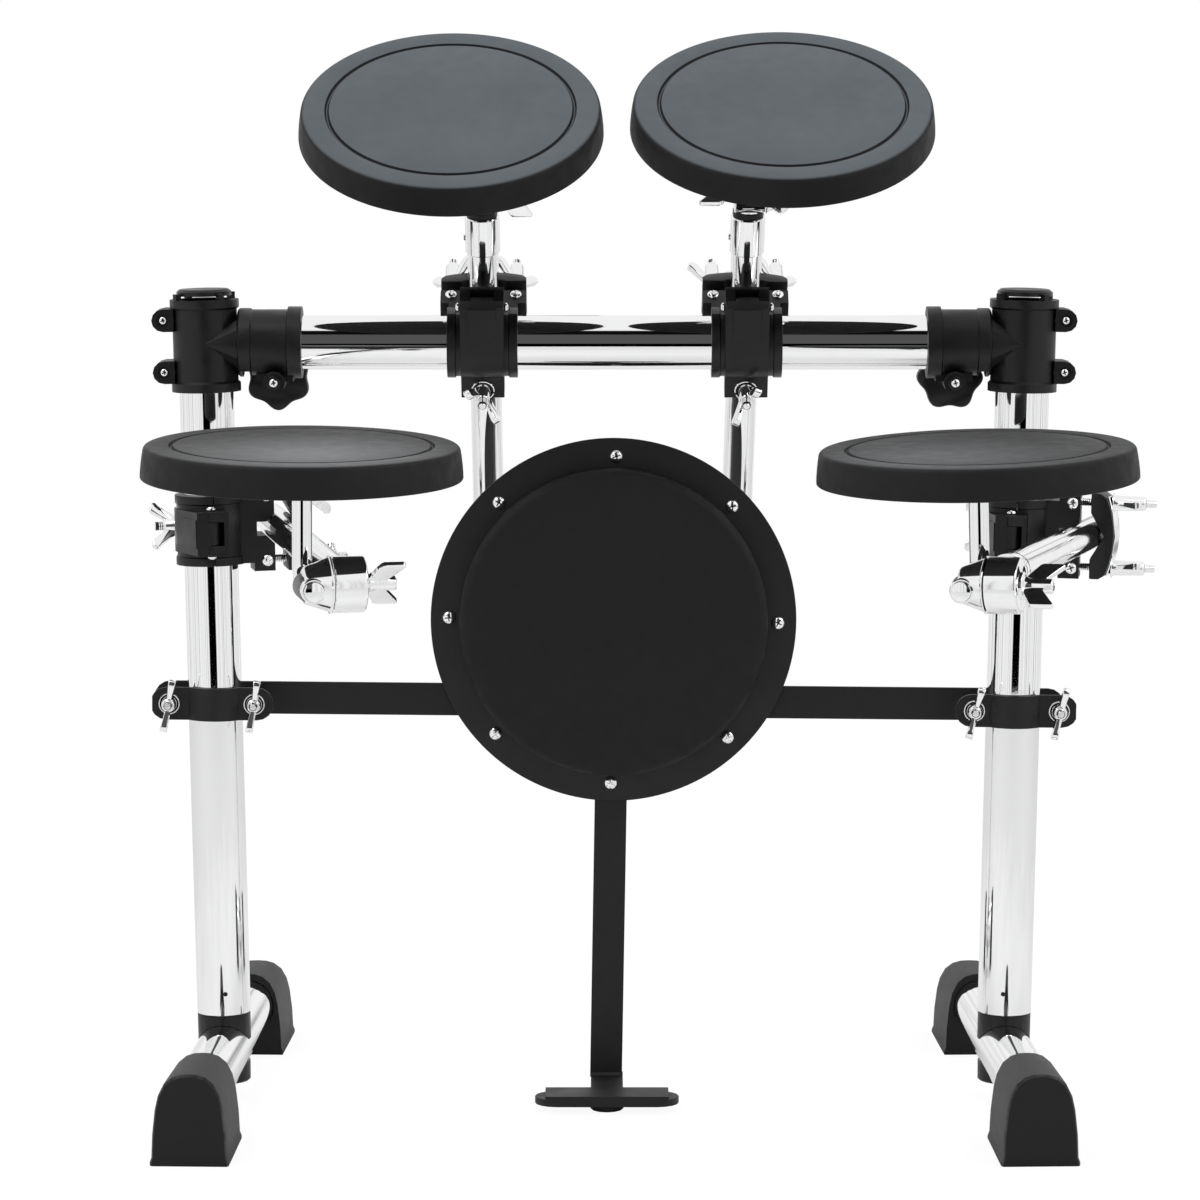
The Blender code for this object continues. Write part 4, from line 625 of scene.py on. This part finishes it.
for unit, spec in UNITS.items():
    upper = unit.startswith("upper")
    mirror = Matrix.Scale(spec["hand"], 4, (1.0, 0.0, 0.0))
    turned_round = Matrix.Scale(math.copysign(1.0, spec["back"]), 4, (0.0, 1.0, 0.0))
    tube = tube_frame(unit)
    tilter = tilter_frame(unit)
    body_wing = moved(barrel(spec["wing"]), tube.inverted() @ tilter @ mirror)
    if upper:
        stem = lathe([(ARM_R - 1.6, -182.8), (ARM_R - 0.4, -182.8), (ARM_R, -182.4), (ARM_R, 58.8), (ARM_R - 1.6, 58.8)], 64)
        add_piece(f"{unit}_stem", stem, CHROME, f"{unit}_tube", tube, f"{unit}_tube")
        sleeve = lathe([(ARM_R + 0.2, 38.4), (11.7, 38.0), (12.3, 38.6), (12.3, 65.0), (11.6, 65.7), (10.4, 65.9),
                        (10.0, 66.6), (10.3, 67.6), (10.3, 87.2), (0.0, 87.2), (0.0, 60.0), (ARM_R + 0.2, 60.0)], 64)
        screw = moved(lathe([(0.0, 10.0), (2.4, 10.0), (2.4, 13.1), (1.9, 13.4), (1.2, 12.6), (0.0, 12.6)], 24),
                      shift(z=49.0) @ Matrix.Rotation(-math.pi / 2.0, 4, "Y"))
        # Painted shade: a black ring in the neck between sleeve and barrel stands in for the shade there and the pad's
        # dark reflection.
        shade_ring = lathe([(9.0, 66.0), (10.7, 66.0), (11.0, 66.4), (11.0, 69.8), (10.7, 70.2), (9.0, 70.2)], 64)
        add_piece(f"{unit}_sleeve_shade_ring", shade_ring, PLASTIC, f"{unit}_tilter_base", tube)
        add_piece(f"{unit}_sleeve_barrel", merged(sleeve, screw, body_wing), CAST, f"{unit}_tilter_base", tube,
                  f"{unit}_tilter_base")
    else:
        end = (tube.inverted() @ tilter @ Vector((BARREL_LENGTH / 2.0, 0.0, 0.0))).z
        neck = end - BARREL_R - 12.0
        arm = lathe([(ARM_R - 1.6, -44.0), (ARM_R - 0.4, -44.0), (ARM_R, -43.6), (ARM_R, neck - 0.5), (ARM_R + 0.4, neck),
                     (ARM_R + 0.7, neck + 6.0), (ARM_R + 1.6, neck + 12.0), (ARM_R + 1.6, end - 5.0), (0.0, end - 5.0),
                     (0.0, neck - 5.0), (ARM_R - 1.6, neck - 5.0)], 64)
        clear = lathe([(0.0, -40.0), (BARREL_R + 1.2, -40.0), (BARREL_R + 1.2, 0.3), (0.0, 0.3)], 48)
        arm = cut(arm, moved(clear, tube.inverted() @ tilter @ TO_X))
        add_piece(f"{unit}_arm_barrel", merged(arm, body_wing), CAST, f"{unit}_arm", tube, f"{unit}_arm")
    across = shift(-spec["rod"], 0.0, -2.0) @ TO_FRONT
    collar = lathe([(ROD_R + 0.2, -11.5), (9.0, -12.0), (9.5, -11.4), (9.5, 5.0), (9.0, 6.0), (ROD_R + 0.2, 7.0)], 48)
    collar = cut(moved(collar, across), prism([(-0.3, -40.0), (30.0, -40.0), (30.0, 40.0), (-0.3, 40.0)], -40.0, 40.0))
    ring = lathe([(ROD_R + 0.2, 5.0), (8.4, 6.0), (8.4, 8.0), (8.2, 14.2), (7.6, 14.8), (ROD_R + 0.2, 14.8)], 48)
    ring = cut(moved(ring, across), prism([(-0.3, -40.0), (30.0, -40.0), (30.0, 40.0), (-0.3, 40.0)], -40.0, 40.0))
    head = f"{unit}_tilter_head"
    bore = moved(lathe([(0.0, -40.0), (ROD_R + 0.2, -40.0), (ROD_R + 0.2, 40.0), (0.0, 40.0)], 48), across)
    add_piece(f"{unit}_head_cone", moved(merged(cut(cone(), bore), ring), mirror @ turned_round), CAST, head,
              head_frame(unit), head)
    add_piece(f"{unit}_head_boss", moved(collar, mirror @ turned_round), DULL, head, head_frame(unit))
    pad_at = rod_frame(unit).inverted() @ node_frame(f"{unit}_pad", rod_frame(unit).to_3x3() @ Vector((0.0, 0.0, 1.0)))
    rod = rod_path(pad_at.translation.z + 12.5, abs(spec["back"]) + 17.8)
    add_piece(f"{unit}_bent_rod", moved(rod, mirror @ turned_round), CHROME, f"{unit}_pad", rod_frame(unit),
              f"{unit}_pad_rod")


# Rack: tubes, knobs, screws of the corner joints, strap nuts

def rack_tube(start, end):
    """Chrome tube with lightly broken ends."""
    outer, inner = TUBE_R, TUBE_R - 1.5
    return lathe([(inner, start), (outer - 0.4, start), (outer, start + 0.4), (outer, end - 0.4), (outer - 0.4, end),
                  (inner, end)], 120)


def star(turn):
    """Six soft lobes with a raised hub and rounded rims."""
    outline = []
    for k in range(96):
        around = 2.0 * math.pi * k / 96
        radius = 20.0 + 3.5 * (1.0 + math.cos(6.0 * around)) / 2.0
        outline.append((radius * math.cos(around + turn), radius * math.sin(around + turn)))
    rows = ((0.93, 0.0), (0.98, -0.7), (1.0, -2.0), (1.0, -11.0), (0.98, -12.3), (0.93, -13.0))
    body = loft([[(x * grow, y * grow, z) for x, y in outline] for grow, z in rows])
    hub = lathe([(0.0, -16.0), (8.4, -16.0), (9.0, -15.4), (9.0, 1.4), (8.4, 2.0), (0.0, 2.0)], 40)
    shank = lathe([(0.0, 1.0), (3.0, 1.0), (3.0, 50.0), (4.4, 50.0), (5.0, 50.6), (5.0, 52.0), (4.4, 52.65), (0.0, 52.65)], 32)
    return merged(body, hub, shank)


add_piece("top_bar_tube", rack_tube(-258.0, 258.0), CHROME, "rack",
          Matrix.Translation(MIDDLE) @ shift(z=BAR_Z) @ TO_X, "top_bar")
for side, word in SIDES:
    add_piece(f"{word}_post_tube", rack_tube(-478.5, 30.0), CHROME, "rack", post_frame(side), f"{word}_post")
    under = side * (POST_X - (BAR_Z - BASE_TUBE_Z) * math.tan(POST_LEAN))
    base_at = Matrix.Translation(MIDDLE) @ shift(under, 0.0, BASE_TUBE_Z) @ Matrix.Rotation(side * BASE_TOE, 4, "Z")
    add_piece(f"{word}_floor_tube", rack_tube(7.3 - 200.0, 7.3 + 200.0), CHROME, "rack", base_at @ TO_BACK,
              f"{word}_base_tube")
    knob = f"{word}_star_knob"
    turn = math.radians(90.0) if side < 0 else math.radians(120.0)
    at = Matrix.Translation(joint_at(f"{knob}_turn")) @ shift(y=2.3) @ TO_FRONT
    add_piece(f"{word}_star", star(turn), PLASTIC, knob, at, knob)
    add_piece(f"{word}_star_screw", cross_screw(3.1), CAST, knob, at @ shift(z=52.65))
    for height, place in ((16.5, "upper"), (-20.0, "lower")):
        spot = post_frame(side) @ shift(side * 28.5, -11.0, height) @ TO_FRONT
        add_piece(f"{word}_{place}_ear_screw", cross_screw(2.9), CAST, "rack", spot)
    # Painted shade: a small black disc on the post stands in for the dark inside of its hole.
    hole_shade = lathe([(0.0, -0.6), (1.6, -0.6), (1.6, 0.25), (1.2, 0.35), (0.0, 0.3)], 20)
    inward = Matrix.Rotation(-side * math.radians(8.5), 4, "Z") @ shift(y=-TUBE_R) @ TO_FRONT
    add_piece(f"{word}_post_hole_shade", hole_shade, PLASTIC, "rack", post_frame(side) @ shift(z=-462.5) @ inward)

for name, turn in STRAP_TURNS.items():
    nut = f"{name}_strap_nut"
    out = joint_axis(f"{nut}_turn")
    seat = node_frame(nut, out)
    add_piece(f"{nut}_wings", wing_nut(turn, 19.0, 14.5, 10.5, 7.6), CAST, nut, seat, nut)
    add_piece(f"{name}_strap_bolt_tip", threads(3.1, 4.0, 14.6), CAST, "rack", seat)


# Bass pad

bass_axis = Vector((0.0, -1.0, 0.0))
bass_place = node_frame("bass_plate", bass_axis)
plate_profile = [(0.0, 0.0)] + arc(PLATE_R - 0.6, 0.6, 0.6, -90.0, 0.0, 3) + arc(PLATE_R - 0.6, 1.4, 0.6, 0.0, 90.0, 3)
plate = add_piece("bass_backing_plate", lathe(plate_profile + [(0.0, 2.0)], 180), STEEL, "rack", bass_place,
                  "bass_plate")
front = 20.0
cushion_profile = [(0.0, 0.0), (CUSHION_R - 1.5, 0.0), (CUSHION_R - 0.3, 0.8), (CUSHION_R, 2.4)]
cushion_profile += arc(CUSHION_R - 7.4, front - 7.8, 7.4, -3.0, 80.0, 10)
cushion_profile += [(94.0, front), (70.0, front + 0.7), (45.0, front + 1.2), (20.0, front + 1.5), (0.0, front + 1.6)]
cushion = add_piece("bass_soft_cushion", lathe(cushion_profile, 180), CUSHION, "rack",
                    node_frame("bass_cushion", bass_axis), "bass_cushion")
for k in range(8):
    angle = math.radians(45.0 * k + 90.0) - BASS_ROLL
    spot = bass_place @ shift(SCREW_CIRCLE * math.cos(angle), SCREW_CIRCLE * math.sin(angle), 2.0)
    spot = spot @ Matrix.Rotation(math.radians(37.0 * k), 4, "Z")
    add_piece(f"plate_screw_{k + 1}", cross_screw(4.7), CAST, "rack", spot)


# Studio: a round white floor, and surroundings that only reflections and soft light see

FLOOR_R = 2.12
floor_mesh = bpy.data.meshes.new("floor")
rim = [(FLOOR_R * math.cos(a), FLOOR_R * math.sin(a), 0.0) for a in (2.0 * math.pi * k / 128 for k in range(128))]
floor_mesh.from_pydata(rim, [], [tuple(range(128))])
floor = bpy.data.objects.new("floor", floor_mesh)
floor.location.z = cad_low[2]
bpy.context.scene.collection.objects.link(floor)
paper = Shader("studio_floor", (0.78, 0.78, 0.78), 0.0, 0.9)
outward = paper.node("ShaderNodeVectorMath", {0: paper.coords}, operation="LENGTH").outputs["Value"]
# Painted pool of light: the floor's colour is paler in the middle and darker outwards, with a little noise.
painted_light_pool = paper.span(paper.node("ShaderNodeMath", {0: outward, 1: paper.noise(3.0, 2.0)}, operation="ADD").outputs[0], 0.75, 1.7, 0.0, 1.0)
paper.feed("Base Color", paper.mix(painted_light_pool, (0.90, 0.90, 0.90, 1.0), (0.71, 0.71, 0.71, 1.0)))
seen = paper.node("ShaderNodeLightPath").outputs["Is Camera Ray"]
share = paper.node("ShaderNodeMath", {0: seen, 1: 0.88}, operation="MULTIPLY").outputs[0]
glow = paper.node("ShaderNodeEmission", {"Color": (1.0, 1.0, 1.0, 1.0), "Strength": 1.05})
blend = paper.node("ShaderNodeMixShader", {0: share, 1: paper.bsdf.outputs[0], 2: glow.outputs[0]})
paper.tree.links.new(blend.outputs[0], paper.tree.nodes["Material Output"].inputs["Surface"])
floor_mesh.materials.append(paper.material)


def make_surroundings():
    """White walls with faint folds, and a dark opening in front, behind the camera."""
    world = bpy.data.worlds.new("studio")
    bpy.context.scene.world = world
    world.use_nodes = True
    tree = world.node_tree

    def calc(operation, first, second=0.0):
        return add_node(tree, "ShaderNodeMath", {0: first, 1: second}, operation=operation).outputs[0]

    def ramp(value, low, high, new_low=0.0, new_high=1.0):
        inputs = {"Value": value, "From Min": low, "From Max": high, "To Min": new_low, "To Max": new_high}
        return add_node(tree, "ShaderNodeMapRange", inputs).outputs[0]

    direction = add_node(tree, "ShaderNodeSeparateXYZ",
                         {"Vector": add_node(tree, "ShaderNodeTexCoord").outputs["Generated"]})
    across, away, up = direction.outputs
    azimuth = calc("ARCTAN2", across, calc("MULTIPLY", away, -1.0))
    off_axis = calc("ABSOLUTE", calc("ADD", azimuth, -0.02))
    opening = calc("MULTIPLY", ramp(off_axis, 0.24, 0.28, 1.0, 0.0), ramp(up, 0.80, 0.83, 1.0, 0.0))
    folds = add_node(tree, "ShaderNodeTexNoise", {"W": azimuth, "Scale": 9.0, "Detail": 5.0, "Roughness": 0.8},
                     noise_dimensions="1D").outputs[0]
    low_wall = ramp(up, 0.15, 0.45, 1.0, 0.0)
    wall = calc("SUBTRACT", 0.93, calc("MULTIPLY", ramp(folds, 0.50, 0.66, 0.0, 0.6), low_wall))
    room = calc("MULTIPLY", ramp(up, -0.04, -0.02), ramp(up, 0.58, 0.62, 0.085, 0.004))
    tone = add_node(tree, "ShaderNodeMix", {0: opening, 2: wall, 3: room}, data_type="FLOAT").outputs[0]
    seen = add_node(tree, "ShaderNodeLightPath").outputs["Is Camera Ray"]
    strength = add_node(tree, "ShaderNodeMix", {0: seen, 2: tone, 3: 1.0}, data_type="FLOAT").outputs[0]
    background = tree.nodes["Background"]
    background.inputs["Color"].default_value = (1.0, 1.0, 1.0, 1.0)
    tree.links.new(strength, background.inputs["Strength"])


def area_light(name, location, target, size, power):
    light = bpy.data.lights.new(name, "AREA")
    light.shape = "RECTANGLE"
    light.size, light.size_y = size
    light.energy = power
    lamp = bpy.data.objects.new(name, light)
    lamp.location = location
    lamp.rotation_euler = (Vector(target) - Vector(location)).to_track_quat("-Z", "Y").to_euler()
    bpy.context.scene.collection.objects.link(lamp)


make_surroundings()
area_light("key_softbox", (-1.4, -1.0, 2.6), (0.0, 0.0, 0.4), (1.4, 1.4), 20.0)
area_light("fill_softbox", (1.8, -0.8, 2.0), (0.0, 0.0, 0.4), (1.2, 1.6), 10.0)

camera_data = bpy.data.cameras.new("camera")
camera_data.lens = LENS
camera_data.sensor_width = SENSOR
camera_data.clip_end = 50.0
camera = bpy.data.objects.new("camera", camera_data)
camera.location = CAMERA_AT
camera.rotation_euler = (math.radians(90.0) - CAMERA_DOWN, 0.0, 0.0)
bpy.context.scene.collection.objects.link(camera)
bpy.context.scene.camera = camera
bpy.context.scene.view_settings.view_transform = "Standard"
